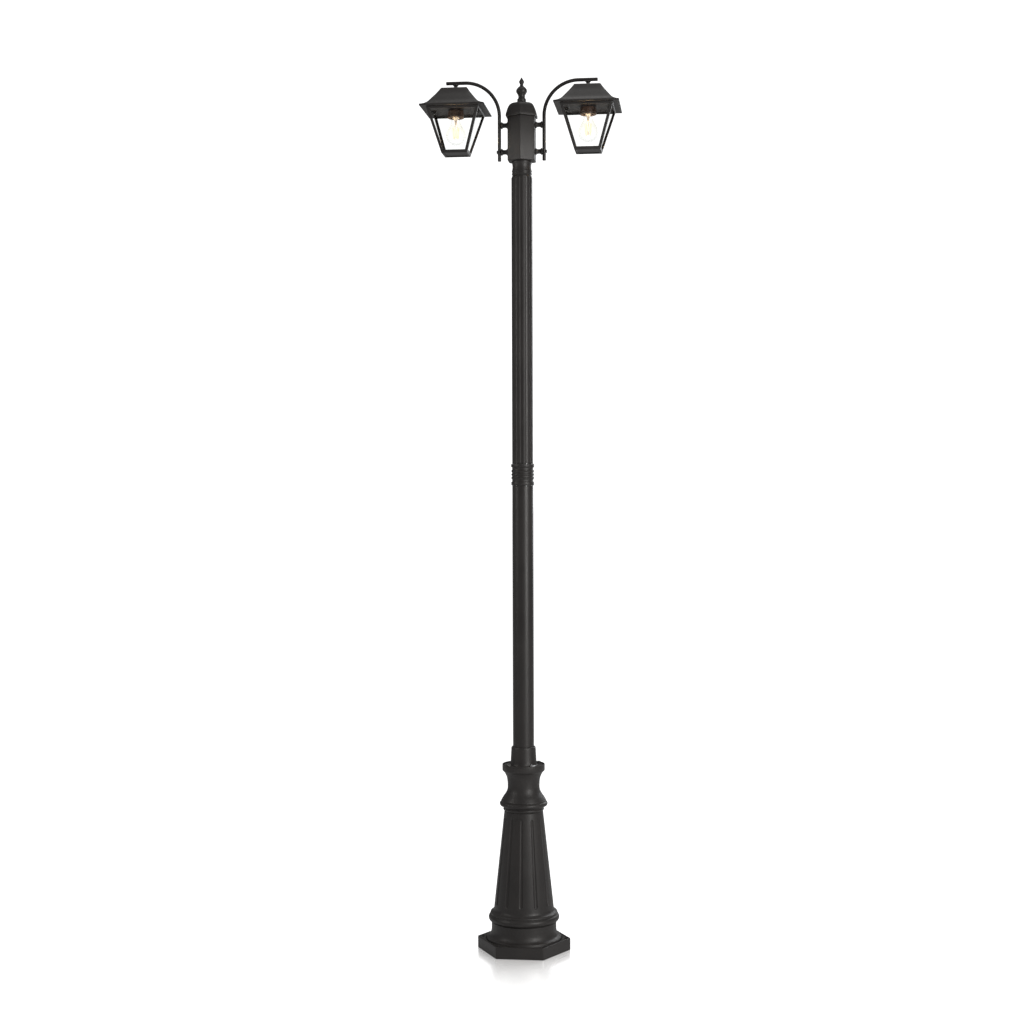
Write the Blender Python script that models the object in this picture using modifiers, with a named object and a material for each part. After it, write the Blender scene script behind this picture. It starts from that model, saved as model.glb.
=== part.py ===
"""Street lamp post: a cast pedestal, a two-piece pole and two lanterns hung from curved arms.

Metres, +Z up. The origin is the centre of the base on the ground. The arms reach along X.
"""

import math

import bmesh
import bpy
from mathutils import Matrix, Vector

OBJECT = "street_lamp_post"
GAP = 0.0003                    # clearance between neighbouring pieces

# Round sections: how many sides each size of turning gets
LARGE = 24
POLE = 20
MEDIUM = 16
SMALL = 10
BULB_SIDES = 12
WIRE_SIDES = 8
HEX = 6
SQUARE = 4

# Base plinth: a hexagonal plate with a raised rim, and a round foot that rises from it
PLINTH_CORNER = 0.1337          # centre to corner
PLINTH_H = 0.0335
RIM_W = 0.005
RIM_DEPTH = 0.0012
FOOT_R = 0.1070
FOOT_NECK_R = 0.0925
FOOT_TOP = 0.0808
FOOT_GROOVE_R = 0.1090           # the round groove between the plate and the foot
FOOT_GROOVE_Z = 0.0283
FOOT_HOLLOW_R = 0.0970
ANCHOR_RING_R = 0.1185
ANCHOR_HOLE_R = 0.005

# Pedestal cone, with twelve flutes
CONE_BOTTOM = FOOT_TOP + GAP
CONE_FOOT_Z = 0.1200
CONE_FOOT_R = 0.0853
CONE_TOP = 0.3965
CONE_TOP_R = 0.0553
CAST_WALL = 0.005
FLUTES = 12
FLUTE_LOW_Z = 0.137
FLUTE_HIGH_Z = 0.3755
FLUTE_LOW_R = 0.0075            # radius of the round-bottomed cutter at each end
FLUTE_HIGH_R = 0.0050
FLUTE_LOW_DEPTH = 0.0030
FLUTE_HIGH_DEPTH = 0.0020

# Pedestal neck: ring, waist and bolting disc
NECK_BOTTOM = CONE_TOP + GAP
NECK_TOP = 0.5230                # floor of the recess that the socket sits in
NECK_RIM_TOP = 0.5300
NECK_RECESS_R = 0.0582
NECK_DISC_R = 0.0606
NECK_WAIST_R = 0.0455
CABLE_HOLE_R = 0.020

# Post socket, bolted to the neck
SOCKET_BOTTOM = NECK_TOP + GAP
SOCKET_FLANGE_R = 0.0575
SOCKET_FLANGE_T = 0.004
SOCKET_TOP = 0.5800
SOCKET_R = 0.0350
BOLT_RING_R = 0.0500
BOLT_ANGLES = {"front_right": -52, "front_left": -142, "rear_right": 38, "rear_left": 128}
BOLT_R = 0.0040
BOLT_HEAD_CORNER = 0.0073
BOLT_HEAD_H = 0.0050
BOLT_DEPTH = 0.0140

# Pole tubes and the beaded collar between them
TUBE_R = 0.0300
TUBE_BORE_R = 0.0275
LOWER_TUBE_BOTTOM = SOCKET_BOTTOM + SOCKET_FLANGE_T + GAP
JOINT_BOTTOM = 1.3260
JOINT_TOP = 1.3870
LOWER_TUBE_TOP = JOINT_BOTTOM - GAP
UPPER_TUBE_BOTTOM = JOINT_TOP + GAP
UPPER_TUBE_TOP = 2.2020
SPIGOT_R = TUBE_BORE_R - GAP
SPIGOT_BORE_R = 0.0245
SPIGOT_REACH = 0.060            # how far the spigot runs into each tube
TUBE_FLUTE_DEPTH = 0.0013
TUBE_FLUTE_HALF_ANGLE = 9.0

# Head: collar, hexagonal box, domed cap and finial
COLLAR_BOTTOM = UPPER_TUBE_TOP + GAP
COLLAR_TOP = 2.2477
COLLAR_BORE_R = 0.012
COLLAR_SPIGOT = 0.030
HEAD_CORNER = 0.0445
HEAD_INNER_CORNER = 0.0410
HEAD_BOTTOM = COLLAR_TOP + GAP
HEAD_TOP = 2.3733
CAP_BOTTOM = HEAD_TOP + GAP
CAP_CORNER = 0.0500
CAP_TOP = 2.4135
CAP_WALL = 0.003
CAP_SKIRT = 0.005
STUD_R = 0.0030
STUD_BOTTOM = 2.4010
FINIAL_BOTTOM = CAP_TOP + GAP
FINIAL_TOP = 2.4880
NUT_CORNER = 0.0058
NUT_H = 0.005

# Arms, with the two spacers that hold each one off the head
ARM_R = 0.0050
ARM_BORE_R = 0.0033
BAR_X = 0.0640
BAR_BOTTOM = 2.2500
BEND_R = 0.0985
ARM_TOP = 2.4775                # centre line of the level run
ARM_END_X = 0.2170
ARM_BORE_START = 2.3000
ARM_BORE_END_X = 0.2050
BEND_STEPS = 9
UPPER_SPACER_Z = 2.3520
LOWER_SPACER_Z = 2.2760
SPACER_R = 0.0095
SPACER_WAIST_R = 0.0065
WIRE_HOLE_R = 0.0030
SCREW_R = 0.0025
SCREW_HEAD_R = 0.0046
SCREW_HEAD_H = 0.0028

# Lantern, measured from its own vertical axis
LANTERN_X = 0.1895
ROOF_TOP = 2.4570
ROOF_FLAT = 0.0368              # half the width of the flat on top
ROOF_WALL = 0.002
EAVE = 0.0920                   # half the width of the roof
EAVE_LIP_BOTTOM = 2.3975
CEILING_T = 0.0015
CEILING_TOP = 2.3988
STEM_TOP = ARM_TOP - ARM_R - GAP
STEM_FLANGE_R = 0.0080
STEM_NECK_R = 0.0050
STEM_BORE_R = 0.0025
STEM_BOTTOM = 2.4295
HOLDER_TOP = 2.4380
HOLDER_BOTTOM = 2.3760
HOLDER_R = 0.0235
HOLDER_NECK_R = 0.0180
HOLDER_SOCKET_R = 0.0142
HOLDER_SOCKET_TOP = 2.4040

# Cage: four corner angles, a top rail and a bottom rail, in one tapered casting
CAGE_TOP = CEILING_TOP - CEILING_T - GAP
CAGE_BOTTOM = 2.2720
CAGE_TOP_HALF = 0.0748
CAGE_BOTTOM_HALF = 0.0368
CAGE_WALL = 0.0026
CAGE_LEG = 0.0082
WINDOW_BOTTOM = 2.2805
WINDOW_TOP = 2.3920
LIP_HALF = 0.0300
LIP_T = 0.0018
PANE_T = 0.0025
PANE_BOTTOM = 2.2766
PANE_TOP = 2.3932
PANE_EDGE = 0.0060              # how far a pane's side stands in from the cage's outer face
THUMB_X = 0.0610
THUMB_HEAD_R = 0.0048
THUMB_HEAD_H = 0.0050
THUMB_R = 0.0020
LUG_T = 0.0030

# Filament bulb
BULB_R = 0.0290
BULB_BOTTOM = 2.2985
BULB_NECK_R = 0.0118
BULB_NECK_TOP = 2.3860
BULB_GLASS_T = 0.0010
BULB_CAP_R = 0.0132
BULB_CAP_TOP = 2.4030
BULB_CAP_BOTTOM = 2.3790

# Wiring
SUPPLY_R = 0.0035
LEAD_R = 0.00175
STRIP_BOTTOM = 2.3040
STRIP_H = 0.0160
STRIP_HALF_X = 0.0085
STRIP_HALF_Y = 0.0330


def clear_scene():
    for obj in list(bpy.data.objects):
        bpy.data.objects.remove(obj)
    for collection in list(bpy.data.collections):
        bpy.data.collections.remove(collection)


def new_collection(name):
    collection = bpy.data.collections.new(name)
    bpy.context.scene.collection.children.link(collection)
    return collection


def make_material(name, colour, roughness, metallic=0.0, alpha=1.0):
    material = bpy.data.materials.new(name)
    material.use_nodes = True
    shader = material.node_tree.nodes["Principled BSDF"]
    shader.inputs["Base Color"].default_value = (*colour, 1.0)
    shader.inputs["Roughness"].default_value = roughness
    shader.inputs["Metallic"].default_value = metallic
    shader.inputs["Alpha"].default_value = alpha
    return material


clear_scene()
PARTS = new_collection(OBJECT)
CUTTERS = new_collection("cutters")
COATED = make_material("coated_aluminium", (0.035, 0.035, 0.037), 0.55, 0.1)
CABLE_SKIN = make_material("cable_skin", (0.03, 0.03, 0.03), 0.6)
ZINC = make_material("zinc_plated_steel", (0.55, 0.56, 0.58), 0.35, 1.0)
HOLDER_PLASTIC = make_material("lamp_holder_plastic", (0.03, 0.025, 0.022), 0.45)
STRIP_PLASTIC = make_material("terminal_plastic", (0.8, 0.8, 0.76), 0.5)
PANE_GLASS = make_material("pane_glass", (0.95, 0.97, 0.97), 0.05, 0.0, 0.2)
BULB_GLASS = make_material("bulb_glass", (1.0, 0.93, 0.75), 0.02, 0.0, 0.25)
BRASS = make_material("bulb_cap_brass", (0.72, 0.55, 0.28), 0.3, 1.0)


def evaluated_mesh(obj):
    """The mesh that obj's modifiers, or its curve, give; the helper object is removed."""
    depsgraph = bpy.context.evaluated_depsgraph_get()
    mesh = bpy.data.meshes.new_from_object(obj.evaluated_get(depsgraph))
    bpy.data.objects.remove(obj)
    return mesh


def shade(mesh, sharp_from=35):
    mesh.shade_smooth()
    mesh.set_sharp_from_angle(angle=math.radians(sharp_from))
    return mesh


def add_part(name, mesh, material):
    """A part of the lamp, in the lamp's own collection."""
    obj = bpy.data.objects.new(name, mesh)
    mesh.materials.clear()
    mesh.materials.append(material)
    PARTS.objects.link(obj)
    return obj


def add_cutter(name, mesh, matrix=None):
    """A tool body that a Boolean uses and that never shows."""
    obj = bpy.data.objects.new(name, mesh)
    obj.matrix_world = matrix or Matrix.Identity(4)
    obj.hide_render = True
    obj.display_type = "WIRE"
    CUTTERS.objects.link(obj)
    return obj


def boolean(obj, tool, operation="DIFFERENCE"):
    modifier = obj.modifiers.new(f"{operation.lower()} {tool.name}", "BOOLEAN")
    modifier.object = tool
    modifier.operation = operation
    modifier.solver = "EXACT"


def turned(profile, sides, closed, first_angle=0.0):
    """Spins a profile of (radius, height) points about Z. Its outer side runs from top to bottom.

    A closed profile makes a ring; an open one starts and ends on the axis and makes a solid."""
    mesh = bpy.data.meshes.new("profile")
    turn = Matrix.Rotation(math.radians(first_angle), 3, "Z")
    points = [turn @ Vector((radius, 0, height)) for radius, height in profile]
    edges = [(i, i + 1) for i in range(len(points) - 1)]
    if closed:
        edges.append((len(points) - 1, 0))
    mesh.from_pydata(points, edges, [])
    helper = bpy.data.objects.new("profile", mesh)
    PARTS.objects.link(helper)
    screw = helper.modifiers.new("turn", "SCREW")
    screw.axis = "Z"
    screw.angle = math.tau
    screw.steps = sides
    screw.render_steps = sides
    screw.use_merge_vertices = True
    screw.merge_threshold = 0.00002
    return shade(evaluated_mesh(helper))


def prism(half_widths, corner):
    """A profile of (half width, height) points as (corner radius, height) for a square or hexagon."""
    return [(half / math.cos(corner), height) for half, height in half_widths]


def round_bar(radius, low, high, sides=SMALL):
    """A cylinder along Z from low to high."""
    mesh = bpy.data.meshes.new("round_bar")
    work = bmesh.new()
    centre = Matrix.Translation((0, 0, (low + high) / 2))
    bmesh.ops.create_cone(work, cap_ends=True, segments=sides, radius1=radius, radius2=radius,
                          depth=high - low, matrix=centre)
    work.to_mesh(mesh)
    work.free()
    return shade(mesh)


def block(low, high):
    """A box between two corners."""
    mesh = bpy.data.meshes.new("block")
    low, high = Vector(low), Vector(high)
    work = bmesh.new()
    bmesh.ops.create_cube(work, size=1)
    bmesh.ops.scale(work, vec=high - low, verts=work.verts)
    bmesh.ops.translate(work, vec=(low + high) / 2, verts=work.verts)
    work.to_mesh(mesh)
    work.free()
    return mesh


def welded(mesh):
    """A curve's caps are loose: this joins them to its sides."""
    work = bmesh.new()
    work.from_mesh(mesh)
    bmesh.ops.remove_doubles(work, verts=work.verts, dist=0.00001)
    bmesh.ops.recalc_face_normals(work, faces=work.faces)
    work.to_mesh(mesh)
    work.free()
    return mesh


def swept(route, radius, roundness):
    """A round rod along a route of points, with filled ends."""
    curve = bpy.data.curves.new("route", "CURVE")
    curve.dimensions = "3D"
    curve.bevel_depth = radius
    curve.bevel_resolution = roundness
    curve.use_fill_caps = True
    spline = curve.splines.new("POLY")
    spline.points.add(len(route) - 1)
    for point, place in zip(spline.points, route):
        point.co = (*place, 1.0)
    helper = bpy.data.objects.new("route", curve)
    PARTS.objects.link(helper)
    return shade(welded(evaluated_mesh(helper)), 60)


def plate(outlines, thickness):
    """A flat plate in XY, centred on Z, from a closed outline and the outlines of its holes."""
    curve = bpy.data.curves.new("outline", "CURVE")
    curve.dimensions = "2D"
    curve.fill_mode = "BOTH"
    curve.extrude = thickness / 2
    for outline in outlines:
        spline = curve.splines.new("POLY")
        spline.points.add(len(outline) - 1)
        spline.use_cyclic_u = True
        for point, (x, y) in zip(spline.points, outline):
            point.co = (x, y, 0, 1)
    helper = bpy.data.objects.new("outline", curve)
    PARTS.objects.link(helper)
    return welded(evaluated_mesh(helper))


def polar(radius, degrees, height=0.0):
    angle = math.radians(degrees)
    return Vector((radius * math.cos(angle), radius * math.sin(angle), height))


def arc(centre_r, centre_z, radius, start, end, steps):
    """Profile points on an arc, with angles in degrees from the outward direction."""
    turns = [math.radians(start + (end - start) * i / steps) for i in range(steps + 1)]
    return [(centre_r + radius * math.cos(a), centre_z + radius * math.sin(a)) for a in turns]


def along_x(height, x=0.0):
    """A matrix that lays a shape made along Z onto a level line along X."""
    return Matrix.Translation((x, 0, height)) @ Matrix.Rotation(math.radians(90), 4, "Y")


# ---------------------------------------------------------------- pedestal

def build_base_plinth():
    """The hexagonal plate with its foot, cast in one, hollow from below."""
    rim = RIM_W / math.cos(math.radians(30))
    chamfer = 0.0022
    floor = PLINTH_H - RIM_DEPTH
    plate_profile = [
        (0, floor),
        (PLINTH_CORNER - rim, floor),
        (PLINTH_CORNER - rim, PLINTH_H),
        (PLINTH_CORNER - chamfer, PLINTH_H),
        (PLINTH_CORNER, PLINTH_H - chamfer),
        (PLINTH_CORNER, 0),
        (0, 0),
    ]
    plinth = add_part("base_plinth", turned(plate_profile, HEX, closed=False), COATED)

    recess_profile = [(0, 0.050), (FOOT_GROOVE_R, 0.050), (FOOT_GROOVE_R, FOOT_GROOVE_Z), (0, FOOT_GROOVE_Z)]
    recess = turned(recess_profile, LARGE, closed=False, first_angle=7.5)
    boolean(plinth, add_cutter("foot_recess", recess))
    foot_profile = [(0, FOOT_TOP), (FOOT_NECK_R, FOOT_TOP), (FOOT_NECK_R, 0.0610), (0.0933, 0.0535)]
    foot_profile += [(0.0955, 0.0468), (0.0995, 0.0412), (FOOT_R, 0.0372)]
    foot_profile += [(FOOT_R, FOOT_GROOVE_Z - 0.004), (0, FOOT_GROOVE_Z - 0.004)]
    foot = add_cutter("foot", turned(foot_profile, LARGE, closed=False))
    boolean(plinth, foot, "UNION")

    hollow_profile = [
        (0, FOOT_TOP + 0.010),
        (FOOT_NECK_R - 0.009, FOOT_TOP + 0.010),
        (FOOT_NECK_R - 0.009, FOOT_TOP - 0.014),
        (FOOT_HOLLOW_R, 0.016),
        (FOOT_HOLLOW_R, -0.010),
        (0, -0.010),
    ]
    hollow = add_cutter("foot_hollow", turned(hollow_profile, LARGE, closed=False))
    boolean(plinth, hollow)
    for i in range(HEX):
        place = Matrix.Translation(polar(ANCHOR_RING_R, 60 * i))
        hole = round_bar(ANCHOR_HOLE_R, -0.010, PLINTH_H + 0.010)
        boolean(plinth, add_cutter(f"anchor_hole_{i}", hole, place))


def cone_radius(height):
    share = (height - CONE_FOOT_Z) / (CONE_TOP - CONE_FOOT_Z)
    return CONE_FOOT_R + (CONE_TOP_R - CONE_FOOT_R) * share


def build_pedestal_cone():
    """The tapered shaft on its double bead, with round-ended flutes."""
    profile = [(CONE_TOP_R, CONE_TOP), (CONE_FOOT_R, CONE_FOOT_Z), (0.0868, 0.1150)]
    profile += [(0.0890, 0.1120), *arc(0.0920, 0.1052, 0.0042, 60, -40, 2)]
    profile += [*arc(0.0900, 0.0925, 0.0110, 56, -68, 5), (FOOT_NECK_R, CONE_BOTTOM)]
    profile += [
        (FOOT_NECK_R - 0.009, CONE_BOTTOM),
        (CONE_FOOT_R - CAST_WALL, CONE_FOOT_Z),
        (CONE_TOP_R - CAST_WALL, CONE_TOP),
    ]
    cone = add_part("pedestal_cone", turned(profile, LARGE, closed=True), COATED)

    low = Vector((cone_radius(FLUTE_LOW_Z) + FLUTE_LOW_R - FLUTE_LOW_DEPTH, 0, FLUTE_LOW_Z))
    high = Vector((cone_radius(FLUTE_HIGH_Z) + FLUTE_HIGH_R - FLUTE_HIGH_DEPTH, 0, FLUTE_HIGH_Z))
    run = high - low
    cutter_profile = [(0, run.length + FLUTE_HIGH_R)]
    cutter_profile += arc(0, run.length, FLUTE_HIGH_R, 45, 0, 1)
    cutter_profile += arc(0, 0, FLUTE_LOW_R, 0, -45, 1)
    cutter_profile += [(0, -FLUTE_LOW_R)]
    flute = turned(cutter_profile, SMALL, closed=False)
    lean = Matrix.Translation(low) @ run.to_track_quat("Z", "Y").to_matrix().to_4x4()
    for i in range(FLUTES):
        place = Matrix.Rotation(math.tau * i / FLUTES, 4, "Z") @ lean
        boolean(cone, add_cutter(f"flute_{i}", flute, place))


def build_pedestal_neck():
    """Bead, ring, waist and the thick disc that the socket is bolted to."""
    profile = [(NECK_RECESS_R, NECK_TOP), (NECK_RECESS_R, NECK_RIM_TOP - 0.0004)]
    profile += [(NECK_RECESS_R + 0.0006, NECK_RIM_TOP), (NECK_DISC_R - 0.0008, NECK_RIM_TOP)]
    profile += [(NECK_DISC_R, NECK_RIM_TOP - 0.0012), (NECK_DISC_R, 0.5125), (0.0575, 0.5090)]
    profile += [(0.0540, 0.5057), (0.0485, 0.4940), (0.0462, 0.4820), (NECK_WAIST_R, 0.4680)]
    profile += [(0.0462, 0.4590), (0.0488, 0.4514), (0.0530, 0.4440), (0.0575, 0.4378)]
    profile += [(0.0643, 0.4262), (0.0635, 0.4240), *arc(0.0613, 0.4170, 0.0070, 58, -62, 4)]
    profile += [(0.0600, 0.4092), *arc(0.0540, 0.4020, 0.0042, 58, -58, 2), (CONE_TOP_R, NECK_BOTTOM)]
    profile += [
        (CONE_TOP_R - CAST_WALL, NECK_BOTTOM),
        (0.0520, 0.4200),
        (NECK_WAIST_R - 0.007, 0.4650),
        (NECK_WAIST_R - 0.007, 0.4950),
        (CABLE_HOLE_R, 0.5080),
        (CABLE_HOLE_R, NECK_TOP),
    ]
    neck = add_part("pedestal_neck", turned(profile, LARGE, closed=True), COATED)
    for side, angle in BOLT_ANGLES.items():
        hole = round_bar(BOLT_R + GAP, NECK_TOP - BOLT_DEPTH - 0.001, NECK_TOP + 0.005)
        place = Matrix.Translation(polar(BOLT_RING_R, angle))
        boolean(neck, add_cutter(f"neck_bolt_hole_{side}", hole, place))


def build_post_socket():
    """The flanged cup that the pole stands in."""
    flange_top = SOCKET_BOTTOM + SOCKET_FLANGE_T
    profile = [
        (TUBE_R + GAP, SOCKET_TOP),
        (SOCKET_R - 0.0026, SOCKET_TOP),
        (SOCKET_R - 0.0005, SOCKET_TOP - 0.003),
        (SOCKET_R, SOCKET_TOP - 0.008),
        (SOCKET_R + 0.0018, flange_top + 0.012),
        (SOCKET_R + 0.0030, flange_top + 0.004),
        (SOCKET_R + 0.0050, flange_top),
        (SOCKET_FLANGE_R - 0.001, flange_top),
        (SOCKET_FLANGE_R, flange_top - 0.001),
        (SOCKET_FLANGE_R, SOCKET_BOTTOM),
        (CABLE_HOLE_R, SOCKET_BOTTOM),
        (CABLE_HOLE_R, flange_top),
        (TUBE_R + GAP, flange_top),
    ]
    socket = add_part("post_socket", turned(profile, LARGE, closed=True), COATED)
    for side, angle in BOLT_ANGLES.items():
        hole = round_bar(BOLT_R + GAP, SOCKET_BOTTOM - 0.005, flange_top + 0.005)
        place = Matrix.Translation(polar(BOLT_RING_R, angle))
        boolean(socket, add_cutter(f"socket_bolt_hole_{side}", hole, place))


def build_socket_bolts():
    seat = SOCKET_BOTTOM + SOCKET_FLANGE_T + GAP
    for side, angle in BOLT_ANGLES.items():
        head = round_bar(BOLT_HEAD_CORNER, seat, seat + BOLT_HEAD_H, HEX)
        bolt = add_part(f"socket_bolt_{side}", head, ZINC)
        bolt.location = polar(BOLT_RING_R, angle)
        shank = round_bar(BOLT_R, NECK_TOP - BOLT_DEPTH, seat + 0.001)
        tool = add_cutter(f"bolt_shank_{side}", shank, Matrix.Translation(bolt.location))
        boolean(bolt, tool, "UNION")


# ---------------------------------------------------------------- pole

def pipe(name, radius, bore, low, high):
    profile = [(radius, high), (radius, low), (bore, low), (bore, high)]
    add_part(name, turned(profile, POLE, closed=True), COATED)


def build_joint_collar():
    """Two plain rings with a barrel of three beads between them."""
    profile = [(0.0320, JOINT_TOP), (0.0331, JOINT_TOP - 0.002), (0.0331, JOINT_TOP - 0.008)]
    profile += [(0.0302, JOINT_TOP - 0.010), (0.0302, JOINT_TOP - 0.015)]
    bead = 0.0098
    for i in range(3):
        profile += arc(0.0290, JOINT_TOP - 0.0205 - bead * i, 0.0036, 55, -55, 2)
    profile += [(0.0302, JOINT_BOTTOM + 0.0145), (0.0302, JOINT_BOTTOM + 0.0110)]
    profile += [(0.0327, JOINT_BOTTOM + 0.0095), (0.0327, JOINT_BOTTOM + 0.0015)]
    profile += [(0.0318, JOINT_BOTTOM), (TUBE_BORE_R, JOINT_BOTTOM), (TUBE_BORE_R, JOINT_TOP)]
    add_part("joint_collar", turned(profile, POLE, closed=True), COATED)


def fluted_outline():
    """Twelve shallow flutes between plain lands, one of them facing the front."""
    steps = 4
    points = []
    for i in range(FLUTES):
        middle = -90 + 360 / FLUTES * i
        for k in range(steps + 1):
            share = 2 * k / steps - 1
            depth = TUBE_FLUTE_DEPTH * (1 - share * share)
            points.append(polar(TUBE_R - depth, middle + TUBE_FLUTE_HALF_ANGLE * share).xy)
    return points


def build_upper_tube():
    """An extruded tube with flutes along its whole length."""
    bore = [polar(TUBE_BORE_R, 360 * i / POLE).xy for i in range(POLE)]
    mesh = plate([fluted_outline(), bore], UPPER_TUBE_TOP - UPPER_TUBE_BOTTOM)
    tube = add_part("upper_tube", shade(mesh, 50), COATED)
    tube.location.z = (UPPER_TUBE_BOTTOM + UPPER_TUBE_TOP) / 2


def build_pole():
    pipe("lower_tube", TUBE_R, TUBE_BORE_R, LOWER_TUBE_BOTTOM, LOWER_TUBE_TOP)
    spigot_low = JOINT_BOTTOM - SPIGOT_REACH
    spigot_high = JOINT_TOP + SPIGOT_REACH
    pipe("joint_spigot", SPIGOT_R, SPIGOT_BORE_R, spigot_low, spigot_high)
    build_joint_collar()
    build_upper_tube()


# ---------------------------------------------------------------- head

def build_top_collar():
    """The beaded collar that plugs into the pole and carries the head."""
    profile = [(0.0285, COLLAR_TOP), (0.0285, COLLAR_TOP - 0.004), (0.0274, COLLAR_TOP - 0.008)]
    profile += [(0.0267, COLLAR_TOP - 0.015), (0.0274, COLLAR_TOP - 0.0225)]
    for bead_z in (COLLAR_BOTTOM + 0.0180, COLLAR_BOTTOM + 0.0100):
        profile += arc(0.0265, bead_z, 0.0025, 55, -55, 2)
    profile += [(0.0268, COLLAR_BOTTOM + 0.0060), (0.0285, COLLAR_BOTTOM + 0.0020)]
    profile += [(0.0285, COLLAR_BOTTOM), (SPIGOT_R, COLLAR_BOTTOM)]
    profile += [(SPIGOT_R, COLLAR_BOTTOM - COLLAR_SPIGOT), (COLLAR_BORE_R, COLLAR_BOTTOM - COLLAR_SPIGOT)]
    profile += [(COLLAR_BORE_R, COLLAR_TOP)]
    add_part("top_collar", turned(profile, POLE, closed=True), COATED)


def build_head_body():
    """A hexagonal box with two corners facing front and rear and a flat facing each arm."""
    chamfer = 0.002
    floor = HEAD_BOTTOM + 0.004
    profile = [
        (HEAD_CORNER, HEAD_TOP),
        (HEAD_CORNER, HEAD_BOTTOM + chamfer),
        (HEAD_CORNER - chamfer, HEAD_BOTTOM),
        (COLLAR_BORE_R, HEAD_BOTTOM),
        (COLLAR_BORE_R, floor),
        (HEAD_INNER_CORNER, floor),
        (HEAD_INNER_CORNER, HEAD_TOP),
    ]
    head = add_part("head_body", turned(profile, HEX, closed=True, first_angle=90), COATED)
    wire_hole = round_bar(WIRE_HOLE_R, -0.06, 0.06)
    boolean(head, add_cutter("head_wire_hole", wire_hole, along_x(UPPER_SPACER_Z)))
    screw_hole = round_bar(SCREW_R + GAP, -0.06, 0.06)
    boolean(head, add_cutter("head_screw_hole", screw_hole, along_x(LOWER_SPACER_Z)))


def build_head_cap():
    """A hexagonal dome with an overhanging rim and a skirt that locates it in the head."""
    shoulder = [(0.0305, 2.4132), (0.0366, 2.4095), (0.0410, 2.4040), (0.0445, 2.3965)]
    shoulder += [(0.0470, 2.3890), (0.0490, 2.3830)]
    inside = [(radius - CAP_WALL, height - CAP_WALL) for radius, height in reversed(shoulder)]
    skirt_r = HEAD_INNER_CORNER - 2 * GAP
    inside[0] = (skirt_r - 0.002, 2.3850)
    inside[1] = (skirt_r - 0.002, 2.3900)
    profile = [(0, CAP_TOP), *shoulder, (CAP_CORNER, 2.3795), (CAP_CORNER, CAP_BOTTOM)]
    profile += [(skirt_r, CAP_BOTTOM), (skirt_r, CAP_BOTTOM - CAP_SKIRT)]
    profile += [(skirt_r - 0.002, CAP_BOTTOM - CAP_SKIRT), *inside, (0, CAP_TOP - CAP_WALL)]
    cap = add_part("head_cap", turned(profile, HEX, closed=False, first_angle=90), COATED)
    hole = round_bar(STUD_R + GAP, CAP_TOP - 0.02, CAP_TOP + 0.01)
    boolean(cap, add_cutter("cap_stud_hole", hole))


def build_finial():
    """A turned finial: pointed tip, ball and foot, with the stud that holds the cap."""
    profile = [(0, FINIAL_TOP), (0.0016, FINIAL_TOP - 0.0025), (0.0050, 2.4800), (0.0079, 2.4748)]
    profile += [(0.0050, 2.4680), (0.0052, 2.4633), (0.0114, 2.4576), (0.0149, 2.4525)]
    profile += [(0.0157, 2.4485), (0.0148, 2.4445), (0.0120, 2.4400), (0.0097, 2.4350)]
    profile += [(0.0097, 2.4290), (0.0120, 2.4250), (0.0126, 2.4225), (0.0126, FINIAL_BOTTOM)]
    profile += [(STUD_R, FINIAL_BOTTOM), (STUD_R, STUD_BOTTOM), (0, STUD_BOTTOM)]
    add_part("finial", turned(profile, MEDIUM, closed=False), COATED)


def build_finial_nut():
    top = CAP_TOP - CAP_WALL - GAP
    nut = add_part("finial_nut", round_bar(NUT_CORNER, top - NUT_H, top, HEX), ZINC)
    hole = round_bar(STUD_R + GAP, top - 0.02, top + 0.01)
    boolean(nut, add_cutter("nut_hole", hole))


# ---------------------------------------------------------------- wiring

def smooth_route(points, steps):
    """Points along a Catmull-Rom curve through a few chosen points."""
    points = [Vector(p) for p in points]
    padded = [2 * points[0] - points[1], *points, 2 * points[-1] - points[-2]]
    route = []
    for a, b, c, d in zip(padded, padded[1:], padded[2:], padded[3:]):
        for i in range(steps):
            t = i / steps
            route.append(0.5 * (2 * b + (c - a) * t + (2 * a - 5 * b + 4 * c - d) * t ** 2
                                + (3 * b - a - 3 * c + d) * t ** 3))
    return [*route, points[-1]]


def build_supply_cable():
    """The sheathed cable from the hollow base to the terminal strip in the head."""
    through = [
        (0.030, 0.010, 0.020),
        (0.022, 0.004, 0.110),
        (-0.012, -0.006, 0.260),
        (0.004, 0.004, 0.400),
        (0.000, 0.000, 0.540),
        (0.010, -0.006, 0.900),
        (-0.008, 0.008, 1.250),
        (0.006, 0.006, 1.620),
        (-0.005, -0.004, 1.950),
        (0.000, 0.000, 2.160),
        (0.000, 0.000, 2.250),
        (0.000, 0.000, STRIP_BOTTOM - GAP),
    ]
    add_part("supply_cable", swept(smooth_route(through, 4), SUPPLY_R, 2), CABLE_SKIN)


def build_terminal_strip():
    low = (-STRIP_HALF_X, -STRIP_HALF_Y, STRIP_BOTTOM)
    high = (STRIP_HALF_X, STRIP_HALF_Y, STRIP_BOTTOM + STRIP_H)
    strip = add_part("terminal_strip", block(low, high), STRIP_PLASTIC)
    bevel = strip.modifiers.new("edges", "BEVEL")
    bevel.width = 0.001
    bevel.segments = 1


# ---------------------------------------------------------------- arms

def mount_point(side_name, sign, x):
    """An empty on a vertical axis at the ground, turned so that its X points outwards."""
    empty = bpy.data.objects.new(side_name, None)
    empty.location.x = sign * x
    if sign < 0:
        empty.rotation_euler.z = math.pi
    PARTS.objects.link(empty)
    return empty


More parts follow.
